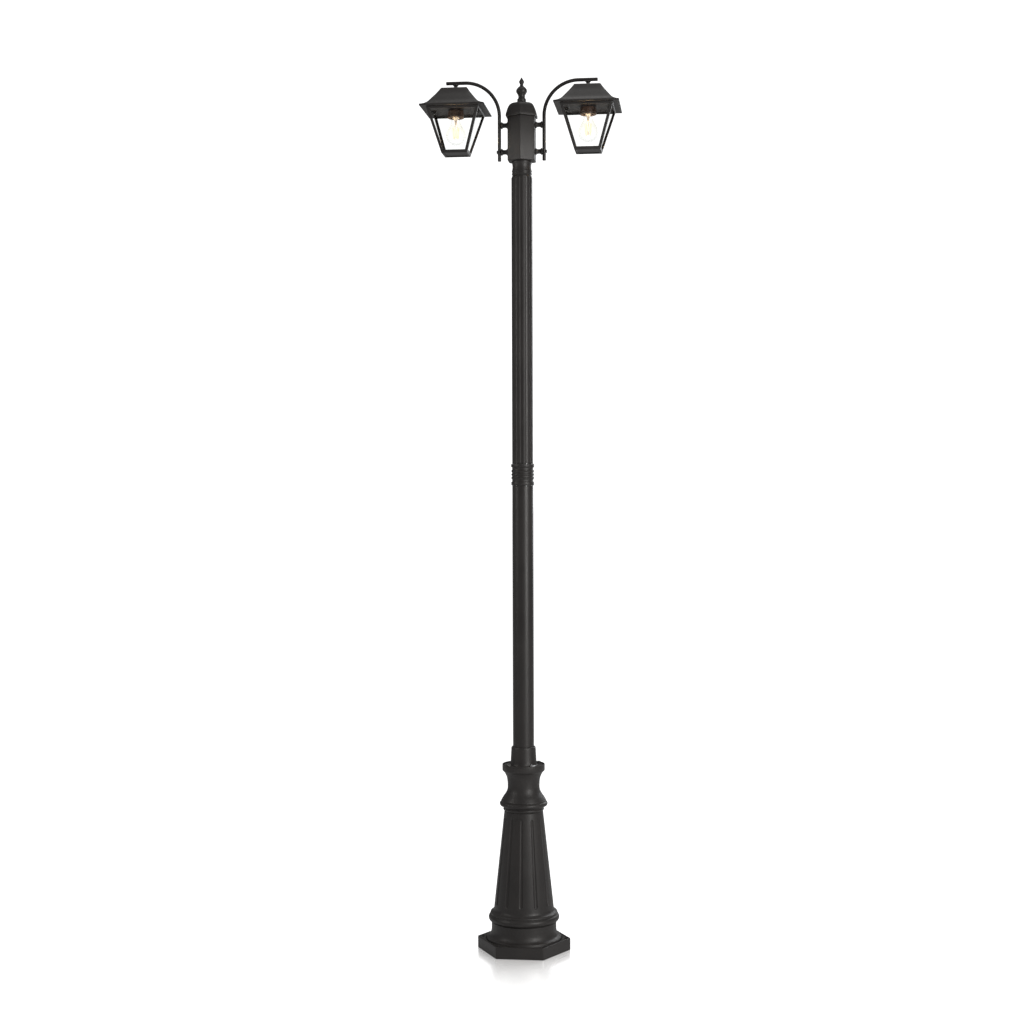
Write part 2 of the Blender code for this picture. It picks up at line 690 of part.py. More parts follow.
def arm_route(bottom, end_x):
    """Up the bar, round the bend and along the level run."""
    bend_x = BAR_X + BEND_R
    bend_z = ARM_TOP - BEND_R
    route = [Vector((BAR_X, 0, bottom))]
    for i in range(BEND_STEPS + 1):
        angle = math.radians(180 - 90 * i / BEND_STEPS)
        route.append(Vector((bend_x + BEND_R * math.cos(angle), 0, bend_z + BEND_R * math.sin(angle))))
    return [*route, Vector((end_x, 0, ARM_TOP))]


def attach(obj, parent):
    obj.parent = parent
    return obj


def build_arm(side, frame):
    arm = add_part(f"{side}_arm", swept(arm_route(BAR_BOTTOM, ARM_END_X), ARM_R, 3), COATED)
    attach(arm, frame)
    bore = swept(arm_route(ARM_BORE_START, ARM_BORE_END_X), ARM_BORE_R, 2)
    wire_in = round_bar(WIRE_HOLE_R, -0.010, 0)
    wire_out = round_bar(WIRE_HOLE_R, ARM_TOP - 0.010, ARM_TOP)
    screw_way = round_bar(SCREW_R + GAP, -0.010, 0.010)
    tools = {
        "bore": (bore, Matrix.Identity(4)),
        "wire_in": (wire_in, along_x(UPPER_SPACER_Z, BAR_X)),
        "wire_out": (wire_out, Matrix.Translation((LANTERN_X, 0, 0))),
        "screw_way": (screw_way, along_x(LOWER_SPACER_Z, BAR_X)),
    }
    for name, (mesh, place) in tools.items():
        boolean(arm, attach(add_cutter(f"{side}_arm_{name}", mesh, place), frame))


def build_arm_spacers(side, frame):
    low = HEAD_CORNER * math.cos(math.radians(30)) + GAP
    high = BAR_X - ARM_R - GAP
    flange = 0.0030
    profile = [
        (SPACER_R, high),
        (SPACER_R, high - flange),
        (SPACER_WAIST_R, high - 2 * flange),
        (SPACER_WAIST_R, low + 2 * flange),
        (SPACER_R, low + flange),
        (SPACER_R, low),
        (WIRE_HOLE_R, low),
        (WIRE_HOLE_R, high),
    ]
    mesh = turned(profile, SMALL, closed=True)
    for name, height in (("upper", UPPER_SPACER_Z), ("lower", LOWER_SPACER_Z)):
        spacer = attach(add_part(f"{side}_{name}_spacer", mesh, COATED), frame)
        spacer.location.z = height
        spacer.rotation_euler.y = math.radians(90)


def build_arm_screw(side, frame):
    seat = BAR_X + ARM_R + GAP
    tip = HEAD_CORNER * math.cos(math.radians(30)) - 0.007
    profile = [
        (0, seat + SCREW_HEAD_H),
        (SCREW_HEAD_R * 0.6, seat + SCREW_HEAD_H),
        (SCREW_HEAD_R, seat + SCREW_HEAD_H * 0.4),
        (SCREW_HEAD_R, seat),
        (SCREW_R, seat),
        (SCREW_R, tip),
        (0, tip),
    ]
    screw = add_part(f"{side}_arm_screw", turned(profile, SMALL, closed=False), ZINC)
    attach(screw, frame)
    screw.location.z = LOWER_SPACER_Z
    screw.rotation_euler.y = math.radians(90)


def build_arm_lead(side, frame):
    """The lead from the terminal strip, through the upper spacer and the arm, to the stem."""
    corner = 0.0030
    strip_top = STRIP_BOTTOM + STRIP_H + GAP
    start_x = 0.0050
    route = [Vector((start_x, 0, strip_top)), Vector((start_x, 0, UPPER_SPACER_Z - 2 * corner))]
    route += [Vector((start_x + 2 * corner, 0, UPPER_SPACER_Z))]
    route += [Vector((BAR_X - corner, 0, UPPER_SPACER_Z)), Vector((BAR_X, 0, UPPER_SPACER_Z + corner))]
    route += arm_route(UPPER_SPACER_Z + corner, LANTERN_X - corner)[1:]
    route += [Vector((LANTERN_X, 0, ARM_TOP - corner)), Vector((LANTERN_X, 0, ARM_TOP - ARM_R))]
    attach(add_part(f"{side}_arm_lead", swept(route, LEAD_R, 2), CABLE_SKIN), frame)


# ---------------------------------------------------------------- lantern

def build_hanger_stem(side, axis):
    """A waisted spool between arm and roof, with a threaded tube that runs down to the lamp holder."""
    roof_seat = ROOF_TOP + GAP
    flange = 0.0020
    profile = [
        (STEM_FLANGE_R, STEM_TOP),
        (STEM_FLANGE_R, STEM_TOP - flange),
        (STEM_NECK_R + 0.0006, STEM_TOP - 0.0045),
        (STEM_NECK_R, (STEM_TOP + roof_seat) / 2),
        (STEM_NECK_R + 0.0006, roof_seat + 0.0045),
        (STEM_FLANGE_R, roof_seat + flange),
        (STEM_FLANGE_R, roof_seat),
        (STEM_NECK_R, roof_seat),
        (STEM_NECK_R, STEM_BOTTOM),
        (STEM_BORE_R, STEM_BOTTOM),
        (STEM_BORE_R, STEM_TOP),
    ]
    attach(add_part(f"{side}_hanger_stem", turned(profile, SMALL, closed=True), COATED), axis)


def square_turned(profile, closed):
    """A four-sided shape from a profile of (half width, height) points, with its flats along X and Y."""
    return turned(prism(profile, math.pi / 4), SQUARE, closed, first_angle=45)


def build_roof(side, axis):
    """A square hipped roof that flares out to its eaves; a thin shell, open below."""
    slope = [(ROOF_FLAT, ROOF_TOP), (0.0480, 2.4405), (0.0700, 2.4128), (0.0780, 2.4068)]
    slope += [(0.0860, 2.4030), (EAVE, 2.4012)]
    inner_slope = [(half - ROOF_WALL, height - ROOF_WALL) for half, height in reversed(slope[:-2])]
    profile = [(0, ROOF_TOP), *slope, (EAVE, EAVE_LIP_BOTTOM)]
    profile += [(EAVE - ROOF_WALL, EAVE_LIP_BOTTOM), (EAVE - ROOF_WALL, CEILING_TOP + GAP)]
    profile += [*inner_slope, (0, ROOF_TOP - ROOF_WALL)]
    roof = attach(add_part(f"{side}_roof", square_turned(profile, closed=False), COATED), axis)
    hole = round_bar(STEM_NECK_R + GAP, ROOF_TOP - 0.02, ROOF_TOP + 0.02)
    boolean(roof, attach(add_cutter(f"{side}_roof_hole", hole), axis))


def build_ceiling_plate(side, axis):
    """The flat plate that closes the roof from below and carries the holder and the cage."""
    half = EAVE - ROOF_WALL - GAP
    low = (-half, -half, CEILING_TOP - CEILING_T)
    plate_mesh = block(low, (half, half, CEILING_TOP))
    ceiling = attach(add_part(f"{side}_ceiling_plate", plate_mesh, COATED), axis)
    hole = round_bar(HOLDER_NECK_R + GAP, CEILING_TOP - 0.02, CEILING_TOP + 0.02, MEDIUM)
    boolean(ceiling, attach(add_cutter(f"{side}_ceiling_hole", hole), axis))
    for name, x in (("inner", -THUMB_X), ("outer", THUMB_X)):
        hole = round_bar(THUMB_R + GAP, CEILING_TOP - 0.02, CEILING_TOP + 0.02)
        place = Matrix.Translation((x, 0, 0))
        boolean(ceiling, attach(add_cutter(f"{side}_ceiling_screw_hole_{name}", hole, place), axis))


def build_lamp_holder(side, axis):
    """A skirted screw lamp holder on the stem's threaded tube."""
    shoulder = CEILING_TOP - CEILING_T - GAP
    profile = [
        (STEM_NECK_R + GAP, HOLDER_TOP),
        (0.0120, HOLDER_TOP),
        (HOLDER_NECK_R, HOLDER_TOP - 0.012),
        (HOLDER_NECK_R, shoulder),
        (HOLDER_R - 0.002, shoulder),
        (HOLDER_R - 0.001, HOLDER_BOTTOM + 0.008),
        (HOLDER_R, HOLDER_BOTTOM + 0.006),
        (HOLDER_R, HOLDER_BOTTOM),
        (HOLDER_SOCKET_R, HOLDER_BOTTOM),
        (HOLDER_SOCKET_R, HOLDER_SOCKET_TOP),
        (0.0020, HOLDER_SOCKET_TOP),
        (0.0020, STEM_BOTTOM - GAP),
        (STEM_NECK_R + GAP, STEM_BOTTOM - GAP),
    ]
    mesh = turned(profile, MEDIUM, closed=True)
    attach(add_part(f"{side}_lamp_holder", mesh, HOLDER_PLASTIC), axis)


def build_holder_lead(side, axis):
    """The lead's last stretch, down the stem's bore to the lamp holder."""
    mesh = round_bar(LEAD_R, STEM_BOTTOM + 0.0005, ARM_TOP - ARM_R - 2 * GAP, WIRE_SIDES)
    attach(add_part(f"{side}_holder_lead", mesh, CABLE_SKIN), axis)


def cage_half(height):
    """Half the cage's outer width at a height."""
    share = (height - CAGE_BOTTOM) / (CAGE_TOP - CAGE_BOTTOM)
    return CAGE_BOTTOM_HALF + (CAGE_TOP_HALF - CAGE_BOTTOM_HALF) * share


def build_cage_frame(side, axis):
    lip_top = CAGE_BOTTOM + LIP_T
    profile = [
        (CAGE_TOP_HALF, CAGE_TOP),
        (CAGE_BOTTOM_HALF, CAGE_BOTTOM),
        (LIP_HALF, CAGE_BOTTOM),
        (LIP_HALF, lip_top),
        (cage_half(lip_top) - CAGE_WALL, lip_top),
        (CAGE_TOP_HALF - CAGE_WALL, CAGE_TOP),
    ]
    cage = attach(add_part(f"{side}_cage_frame", square_turned(profile, closed=True), COATED), axis)
    top, bottom = (cage_half(z) - CAGE_LEG for z in (WINDOW_TOP, WINDOW_BOTTOM))
    window = [(-bottom, WINDOW_BOTTOM), (bottom, WINDOW_BOTTOM), (top, WINDOW_TOP), (-top, WINDOW_TOP)]
    tool = plate([window], 4 * CAGE_TOP_HALF)
    upright = Matrix.Rotation(math.radians(90), 4, "X")
    quarter = Matrix.Rotation(math.radians(90), 4, "Z")
    boolean(cage, attach(add_cutter(f"{side}_window_y", tool, upright), axis))
    boolean(cage, attach(add_cutter(f"{side}_window_x", tool, quarter @ upright), axis))
    for name, sign in (("inner", -1), ("outer", 1)):
        ends = sorted((sign * (THUMB_X - 0.0055), sign * (cage_half(CAGE_TOP - LUG_T) - CAGE_WALL / 2)))
        lug = block((ends[0], -0.006, CAGE_TOP - LUG_T), (ends[1], 0.006, CAGE_TOP))
        boolean(cage, attach(add_cutter(f"{side}_lug_{name}", lug), axis), "UNION")
        hole = round_bar(THUMB_R + GAP, CAGE_TOP - 0.01, CAGE_TOP + 0.01)
        place = Matrix.Translation((sign * THUMB_X, 0, 0))
        boolean(cage, attach(add_cutter(f"{side}_lug_hole_{name}", hole, place), axis))


def build_panes(side, axis):
    """Four glass panes, each leaning with the cage wall that it stands behind."""
    lean = math.atan((CAGE_TOP_HALF - CAGE_BOTTOM_HALF) / (CAGE_TOP - CAGE_BOTTOM))
    middle = (PANE_BOTTOM + PANE_TOP) / 2
    reach = (PANE_TOP - PANE_BOTTOM) / 2 / math.cos(lean)
    top, bottom = (cage_half(z) - PANE_EDGE for z in (PANE_TOP, PANE_BOTTOM))
    outline = [(-bottom, -reach), (bottom, -reach), (top, reach), (-top, reach)]
    mesh = plate([outline], PANE_T)
    inset = CAGE_WALL + (GAP + PANE_T / 2) / math.cos(lean)
    stand = Matrix.Translation((0, -cage_half(middle) + inset, middle))
    stand = stand @ Matrix.Rotation(math.radians(90) + lean, 4, "X")
    for i, name in enumerate(("front", "outer", "rear", "inner")):
        pane = attach(add_part(f"{side}_{name}_pane", mesh, PANE_GLASS), axis)
        quarter = i if axis.location.x > 0 or i % 2 else (i + 2) % 4
        pane.matrix_local = Matrix.Rotation(math.radians(90) * quarter, 4, "Z") @ stand


def build_floor_plate(side, axis):
    """The plate that closes the cage from below, resting on its lip."""
    low = CAGE_BOTTOM + LIP_T + GAP
    half = cage_half(low) - CAGE_WALL - 0.0006
    mesh = block((-half, -half, low), (half, half, low + 0.0015))
    attach(add_part(f"{side}_floor_plate", mesh, COATED), axis)


def build_thumb_screws(side, axis):
    seat = CAGE_TOP - LUG_T - GAP
    profile = [
        (0, CEILING_TOP + 0.004),
        (THUMB_R, CEILING_TOP + 0.004),
        (THUMB_R, seat),
        (THUMB_HEAD_R, seat),
        (THUMB_HEAD_R, seat - THUMB_HEAD_H),
        (0, seat - THUMB_HEAD_H),
    ]
    mesh = turned(profile, SMALL, closed=False)
    for name, x in (("inner", -THUMB_X), ("outer", THUMB_X)):
        screw = attach(add_part(f"{side}_{name}_thumb_screw", mesh, ZINC), axis)
        screw.location.x = x


def build_bulb(side, axis):
    """A clear filament bulb: a thin glass open at its neck, in a brass screw cap."""
    ball_z = BULB_BOTTOM + BULB_R

    def glass(inset):
        ball = arc(0, ball_z, BULB_R - inset, 42, -90, 7)[:-1]
        neck = [(BULB_NECK_R - inset, BULB_NECK_TOP), (BULB_NECK_R + 0.0006 - inset, 2.3740)]
        flare = [(0.0158 - inset, 2.3590)]
        return neck + flare + ball + [(0, BULB_BOTTOM + inset)]

    profile = list(reversed(glass(BULB_GLASS_T))) + glass(0)
    mesh = turned(profile, BULB_SIDES, closed=False)
    attach(add_part(f"{side}_bulb_glass", mesh, BULB_GLASS), axis)
    cap_bore = BULB_NECK_R + 0.0006 + GAP / 2
    cap = [
        (0, BULB_CAP_TOP),
        (0.0050, BULB_CAP_TOP),
        (0.0090, BULB_CAP_TOP - 0.003),
        (BULB_CAP_R, BULB_CAP_TOP - 0.004),
        (BULB_CAP_R, BULB_CAP_BOTTOM),
        (cap_bore, BULB_CAP_BOTTOM),
        (cap_bore, BULB_CAP_TOP - 0.008),
        (0, BULB_CAP_TOP - 0.006),
    ]
    attach(add_part(f"{side}_bulb_cap", turned(cap, BULB_SIDES, closed=False), BRASS), axis)


def build_side(side, sign):
    frame = mount_point(f"{side}_arm_frame", sign, 0)
    build_arm(side, frame)
    build_arm_spacers(side, frame)
    build_arm_screw(side, frame)
    build_arm_lead(side, frame)
    axis = mount_point(f"{side}_lantern_axis", sign, LANTERN_X)
    build_hanger_stem(side, axis)
    build_roof(side, axis)
    build_ceiling_plate(side, axis)
    build_lamp_holder(side, axis)
    build_holder_lead(side, axis)
    build_cage_frame(side, axis)
    build_panes(side, axis)
    build_floor_plate(side, axis)
    build_thumb_screws(side, axis)
    build_bulb(side, axis)


build_base_plinth()
build_pedestal_cone()
build_pedestal_neck()
build_post_socket()
build_socket_bolts()
build_pole()
build_top_collar()
build_head_body()
build_head_cap()
build_finial()
build_finial_nut()
build_supply_cable()
build_terminal_strip()
build_side("left", -1)
build_side("right", 1)
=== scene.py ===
"""The looks of the street lamp post: detailed pieces, materials, floor, light and camera.

Metres, +Z up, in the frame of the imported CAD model. Each lantern is built once, round its own
vertical axis with +X pointing outwards, and placed twice.
"""
import math

import bmesh
import bpy
from mathutils import Matrix, Vector, noise


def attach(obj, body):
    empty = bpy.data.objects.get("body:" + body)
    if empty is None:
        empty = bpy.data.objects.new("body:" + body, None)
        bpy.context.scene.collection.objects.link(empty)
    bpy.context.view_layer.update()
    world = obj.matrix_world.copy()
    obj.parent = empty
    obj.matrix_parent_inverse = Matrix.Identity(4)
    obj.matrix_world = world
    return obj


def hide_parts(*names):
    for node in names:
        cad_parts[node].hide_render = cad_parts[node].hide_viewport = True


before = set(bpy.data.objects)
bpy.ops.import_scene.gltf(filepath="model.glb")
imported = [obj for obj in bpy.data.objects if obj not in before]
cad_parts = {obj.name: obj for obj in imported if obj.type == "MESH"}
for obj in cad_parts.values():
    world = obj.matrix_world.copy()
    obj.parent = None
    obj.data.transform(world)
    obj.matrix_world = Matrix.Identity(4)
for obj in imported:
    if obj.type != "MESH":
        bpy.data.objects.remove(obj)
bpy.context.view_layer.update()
SCENE = bpy.context.scene


# ---------------------------------------------------------------- camera, light and floor

def add_camera():
    """Nearly two posts away, a little to the right of the front and tipped down a touch."""
    distance, yaw, roll, pitch = 4.784, math.radians(6.54), math.radians(-0.17), math.radians(0.637)
    aside = Vector((math.cos(yaw), math.sin(yaw), 0)) * -0.0308
    height = 1.3615
    place = Vector((distance * math.sin(yaw), -distance * math.cos(yaw), height)) + aside
    data = bpy.data.cameras.new("camera")
    data.sensor_width = 36.0
    data.lens = 58.9
    data.shift_y = -0.02
    camera = bpy.data.objects.new("camera", data)
    turn = Matrix.Rotation(yaw, 4, "Z") @ Matrix.Rotation(math.radians(90) - pitch, 4, "X")
    camera.matrix_world = Matrix.Translation(place) @ turn @ Matrix.Rotation(roll, 4, "Z")
    SCENE.collection.objects.link(camera)
    SCENE.camera = camera


def add_area_light(name, place, aim, width, height, power, colour):
    data = bpy.data.lights.new(name, "AREA")
    data.shape = "RECTANGLE"
    data.size, data.size_y = width, height
    data.energy = power
    data.color = colour
    light = bpy.data.objects.new(name, data)
    light.location = place
    light.rotation_euler = (Vector(aim) - Vector(place)).to_track_quat("-Z", "Y").to_euler()
    SCENE.collection.objects.link(light)


def add_bulb_light(side, x):
    """The glow of one bulb, from where its filament is."""
    data = bpy.data.lights.new(f"{side}_bulb_light", "POINT")
    data.energy = 0.11
    data.color = (1.0, 0.66, 0.36)
    data.shadow_soft_size = 0.008
    light = bpy.data.objects.new(f"{side}_bulb_light", data)
    light.location = (x, 0, 2.336)
    SCENE.collection.objects.link(light)


def add_world():
    """White behind the object, and a softer grey sky that lights it."""
    world = bpy.data.worlds.new("studio")
    SCENE.world = world
    world.use_nodes = True
    tree = world.node_tree
    tree.nodes.clear()
    link = tree.links.new
    where = tree.nodes.new("ShaderNodeTexCoord")
    split = tree.nodes.new("ShaderNodeSeparateXYZ")
    height = tree.nodes.new("ShaderNodeMapRange")
    height.inputs["From Min"].default_value = -0.3
    height.inputs["From Max"].default_value = 1.0
    height.inputs["To Min"].default_value = 0.16
    height.inputs["To Max"].default_value = 0.36
    seen = tree.nodes.new("ShaderNodeLightPath")
    lit = tree.nodes.new("ShaderNodeBackground")
    white = tree.nodes.new("ShaderNodeBackground")
    white.inputs["Color"].default_value = (1, 1, 1, 1)
    white.inputs["Strength"].default_value = 1.25
    mix = tree.nodes.new("ShaderNodeMixShader")
    out = tree.nodes.new("ShaderNodeOutputWorld")
    link(where.outputs["Generated"], split.inputs[0])
    link(split.outputs["Z"], height.inputs["Value"])
    link(height.outputs["Result"], lit.inputs["Strength"])
    link(seen.outputs["Is Camera Ray"], mix.inputs["Fac"])
    link(lit.outputs[0], mix.inputs[1])
    link(white.outputs[0], mix.inputs[2])
    link(mix.outputs[0], out.inputs["Surface"])


# ---------------------------------------------------------------- materials

class Tree:
    """A material's nodes, with short calls for the ones used here."""

    def __init__(self, name):
        self.material = bpy.data.materials.new(name)
        self.material.use_nodes = True
        self.tree = self.material.node_tree
        self.tree.nodes.clear()
        self.out = self.tree.nodes.new("ShaderNodeOutputMaterial")
        self.where = self.tree.nodes.new("ShaderNodeTexCoord").outputs["Object"]

    def node(self, kind, **sockets):
        """A node with its sockets set: plain values, or another node's output to link."""
        made = self.tree.nodes.new(kind)
        for key, value in sockets.items():
            self.feed(made.inputs[key.replace("_", " ")], value)
        return made

    def feed(self, socket, value):
        if isinstance(value, bpy.types.NodeSocket):
            self.tree.links.new(value, socket)
        else:
            socket.default_value = value

    def grain(self, scale, detail=2.0, roughness=0.55, stretch=(1, 1, 1)):
        """Noise in object space; scale is in cells to the metre."""
        place = self.node("ShaderNodeMapping", Vector=self.where, Scale=stretch)
        return self.node("ShaderNodeTexNoise", Vector=place.outputs[0], Scale=scale, Detail=detail,
                         Roughness=roughness).outputs["Fac"]

    def remap(self, value, low, high, to_low, to_high):
        made = self.node("ShaderNodeMapRange", Value=value)
        for i, number in enumerate((low, high, to_low, to_high), start=1):
            made.inputs[i].default_value = number
        return made.outputs["Result"]

    def maths(self, operation, a, b):
        made = self.tree.nodes.new("ShaderNodeMath")
        made.operation = operation
        self.feed(made.inputs[0], a)
        self.feed(made.inputs[1], b)
        return made.outputs[0]

    def blend(self, share, a, b):
        """From colour a to colour b."""
        made = self.tree.nodes.new("ShaderNodeMix")
        made.data_type = "RGBA"
        for socket, value in zip((made.inputs[0], made.inputs[6], made.inputs[7]), (share, a, b)):
            if isinstance(value, tuple):
                value = (*value, 1.0)
            self.feed(socket, value)
        return made.outputs[2]

    def bump(self, height, strength, distance, normal=None):
        made = self.node("ShaderNodeBump", Height=height, Strength=strength, Distance=distance)
        if normal is not None:
            self.feed(made.inputs["Normal"], normal)
        return made.outputs["Normal"]

    def height_of(self):
        """How high a point is, in the object's own space."""
        return self.node("ShaderNodeSeparateXYZ", Vector=self.where).outputs["Z"]

    def facing_up(self):
        geometry = self.tree.nodes.new("ShaderNodeNewGeometry")
        up = self.node("ShaderNodeSeparateXYZ", Vector=geometry.outputs["Normal"]).outputs["Z"]
        return self.remap(up, 0.55, 1.0, 0.0, 1.0)

    def mixed(self, share, a, b):
        """From shader a to shader b, on the output."""
        mix = self.node("ShaderNodeMixShader", Fac=share)
        self.tree.links.new(a.outputs[0], mix.inputs[1])
        self.tree.links.new(b.outputs[0], mix.inputs[2])
        self.tree.links.new(mix.outputs[0], self.out.inputs["Surface"])
        return self.material

    def surface(self, colour, roughness, normal=None, **sockets):
        """A Principled surface on the output."""
        shader = self.tree.nodes.new("ShaderNodeBsdfPrincipled")
        self.feed(shader.inputs["Base Color"],
                  (*colour, 1.0) if isinstance(colour, tuple) else colour)
        self.feed(shader.inputs["Roughness"], roughness)
        if normal is not None:
            self.feed(shader.inputs["Normal"], normal)
        for key, value in sockets.items():
            shader.inputs[key.replace("_", " ")].default_value = value
        self.tree.links.new(shader.outputs[0], self.out.inputs["Surface"])
        return self.material


def powder_coat(name, sand, relief):
    """Anthracite powder coat: fine structure, orange peel, and a breath of dust on ledges."""
    t = Tree(name)
    fine = t.grain(1500, 3.0)
    peel = t.grain(260, 2.0)
    broad = t.grain(7, 3.0)
    tone = t.blend(t.remap(broad, 0.35, 0.68, 0.0, 1.0), (0.0155, 0.0137, 0.0132),
                   (0.0226, 0.0201, 0.0193))
    speck = t.blend(t.remap(fine, 0.56, 0.7, 0.0, 0.55), tone, (0.045, 0.041, 0.039))
    dust = t.maths("MULTIPLY", t.facing_up(), t.remap(t.grain(55, 5.0), 0.35, 0.75, 0.02, 0.22))
    colour = t.blend(dust, speck, (0.105, 0.098, 0.088))
    rough = t.remap(t.maths("ADD", t.maths("MULTIPLY", peel, 0.6), t.maths("MULTIPLY", broad, 0.4)),
                    0.35, 0.65, sand - 0.05, sand + 0.06)
    normal = t.bump(peel, 0.1 * relief, 0.0012)
    normal = t.bump(fine, 0.22 * relief, 0.0003, normal)
    return t.surface(colour, rough, normal, Specular_IOR_Level=0.42)


def bright_metal(name, colour, dull, roughness, brushed=(1, 1, 1)):
    """Bare or plated metal: hairline marks, soft stains and a roughness that wanders."""
    t = Tree(name)
    marks = t.grain(900, 3.0, 0.6, brushed)
    stain = t.grain(70, 4.0)
    shade = t.blend(t.remap(stain, 0.42, 0.7, 0.0, 1.0), colour, dull)
    rough = t.remap(marks, 0.3, 0.7, roughness - 0.07, roughness + 0.1)
    return t.surface(shade, rough, t.bump(marks, 0.12, 0.0004), Metallic=1.0)


def moulded_plastic(name, colour, other, roughness, grain_scale):
    """Moulded plastic: faint flow marks and a fine spark-eroded grain."""
    t = Tree(name)
    flow = t.grain(90, 4.0, 0.6, (1, 1, 0.35))
    fine = t.grain(grain_scale, 2.0)
    shade = t.blend(t.remap(flow, 0.38, 0.66, 0.0, 1.0), colour, other)
    rough = t.remap(fine, 0.3, 0.7, roughness - 0.06, roughness + 0.07)
    return t.surface(shade, rough, t.bump(fine, 0.15, 0.0002), Specular_IOR_Level=0.5)


def clear_pane():
    """Clear drawn glass: nearly invisible, with faint upright streaks, ripples and a shine."""
    t = Tree("clear_pane_glass")
    streak = t.grain(60, 4.0, 0.6, (1.0, 1.0, 0.12))
    ripple = t.grain(75, 2.0, 0.5, (1.0, 1.0, 0.5))
    tint = t.blend(t.remap(streak, 0.38, 0.66, 0.0, 1.0), (0.975, 0.98, 0.978),
                   (0.996, 0.997, 0.994))
    normal = t.bump(ripple, 0.1, 0.0004)
    through = t.node("ShaderNodeBsdfTransparent", Color=tint)
    shine = t.node("ShaderNodeBsdfGlossy", Roughness=0.04, Normal=normal)
    facing = t.node("ShaderNodeFresnel", IOR=1.2, Normal=normal)
    share = t.maths("MINIMUM", facing.outputs[0], 0.07)
    return t.mixed(share, through, shine)


def clear_bulb():
    """Thin blown glass with a warm glow painted on near the middle, for the lit filament's light.
    """
    t = Tree("clear_bulb_glass")
    centre = t.node("ShaderNodeVectorMath", Vector=t.where)
    centre.operation = "DISTANCE"
    centre.inputs[1].default_value = (0.0, 0.0, 2.338)
    # Painted glow: a warm tint, strongest near the filament, stands in for its light on the glass.
    near = t.remap(centre.outputs["Value"], 0.016, 0.036, 1.0, 0.0)
    painted_glow_mottle = t.remap(t.grain(120, 3.0), 0.35, 0.7, 0.75, 1.0)
    tint = t.blend(t.maths("MULTIPLY", near, painted_glow_mottle), (0.998, 0.997, 0.993), (0.999, 0.992, 0.955))
    through = t.node("ShaderNodeBsdfTransparent", Color=tint)
    shine = t.node("ShaderNodeBsdfGlossy", Roughness=0.03)
    facing = t.node("ShaderNodeFresnel", IOR=1.18)
    share = t.maths("MINIMUM", facing.outputs[0], 0.06)
    return t.mixed(share, through, shine)


def glowing_wire():
    """The lit filament, hottest in its middle."""
    t = Tree("glowing_filament")
    high = t.height_of()
    middle = t.maths("ABSOLUTE", t.maths("SUBTRACT", high, 2.334), 0.0)
    colour = t.blend(t.remap(middle, 0.004, 0.022, 0.0, 1.0), (1.0, 0.8, 0.42), (1.0, 0.5, 0.18))
    shader = t.node("ShaderNodeEmission", Color=colour, Strength=1.35)
    t.tree.links.new(shader.outputs[0], t.out.inputs["Surface"])
    return t.material


def studio_floor():
    """Plain white floor that mirrors the plinth a little, close to it."""
    t = Tree("studio_floor")
    soft = t.remap(t.grain(1.5, 2.0), 0.3, 0.7, 0.22, 0.26)
    matt = t.node("ShaderNodeBsdfDiffuse", Color=(0.6, 0.6, 0.6, 1.0))
    seen = t.node("ShaderNodeLightPath").outputs["Is Camera Ray"]
    glow = t.node("ShaderNodeEmission", Color=(1, 1, 1, 1),
                  Strength=t.remap(seen, 0.0, 1.0, 0.15, 0.94))
    shine = t.node("ShaderNodeBsdfGlossy", Color=(6.0, 6.0, 6.0, 1.0), Roughness=soft)
    lit = t.node("ShaderNodeAddShader")
    t.tree.links.new(matt.outputs[0], lit.inputs[0])
    t.tree.links.new(glow.outputs[0], lit.inputs[1])
    out = t.node("ShaderNodeVectorMath", Vector=t.where)
    out.operation = "LENGTH"
    near = t.remap(out.outputs["Value"], 0.12, 0.53, 0.76, 0.0)
    return t.mixed(t.maths("MULTIPLY", near, seen), lit, shine)


COAT_CAST = powder_coat("powder_coat_cast", 0.45, 1.0)
COAT_TUBE = powder_coat("powder_coat_tube", 0.4, 0.6)
COAT_SHEET = powder_coat("powder_coat_sheet", 0.42, 0.6)
ALUMINIUM = bright_metal("bare_aluminium_tube", (0.72, 0.73, 0.74), (0.52, 0.53, 0.54), 0.38,
                         (1, 1, 0.03))
# A darkened copy of the zinc plating: painted shade for heads that sit out of the light.
SHADED_ZINC = bright_metal("zinc_darkened_for_shade", (0.17, 0.17, 0.17), (0.1, 0.095, 0.09), 0.46)
ZINC = bright_metal("zinc_plated_steel", (0.86, 0.87, 0.89), (0.66, 0.67, 0.68), 0.3)
BLACKENED = bright_metal("blackened_thumb_screw", (0.06, 0.058, 0.056), (0.035, 0.034, 0.033), 0.42)
CAP_METAL = bright_metal("bulb_cap_metal", (0.7, 0.62, 0.46), (0.48, 0.42, 0.32), 0.28, (1, 1, 4))
SHEATH = moulded_plastic("cable_sheath", (0.018, 0.018, 0.019), (0.03, 0.029, 0.028), 0.46, 700)
STRIP = moulded_plastic("terminal_plastic", (0.74, 0.73, 0.68), (0.66, 0.65, 0.6), 0.42, 1100)
HOLDER = moulded_plastic("lamp_holder_phenolic", (0.062, 0.034, 0.023), (0.088, 0.05, 0.034), 0.36,
                         1200)
HOLDER_RING = moulded_plastic("lamp_holder_ring", (0.12, 0.085, 0.062), (0.085, 0.06, 0.045), 0.42,
                              1200)
FROSTED = moulded_plastic("frosted_glass_foot", (0.86, 0.84, 0.79), (0.78, 0.76, 0.71), 0.3, 900)
PANE = clear_pane()
BULB = clear_bulb()
WIRE = glowing_wire()


# ---------------------------------------------------------------- mesh helpers

def arc(centre_r, centre_z, radius, start, end, steps):
    """Profile points on an arc, with angles in degrees from the outward direction."""
    turns = [math.radians(start + (end - start) * i / steps) for i in range(steps + 1)]
    return [(centre_r + radius * math.cos(a), centre_z + radius * math.sin(a)) for a in turns]


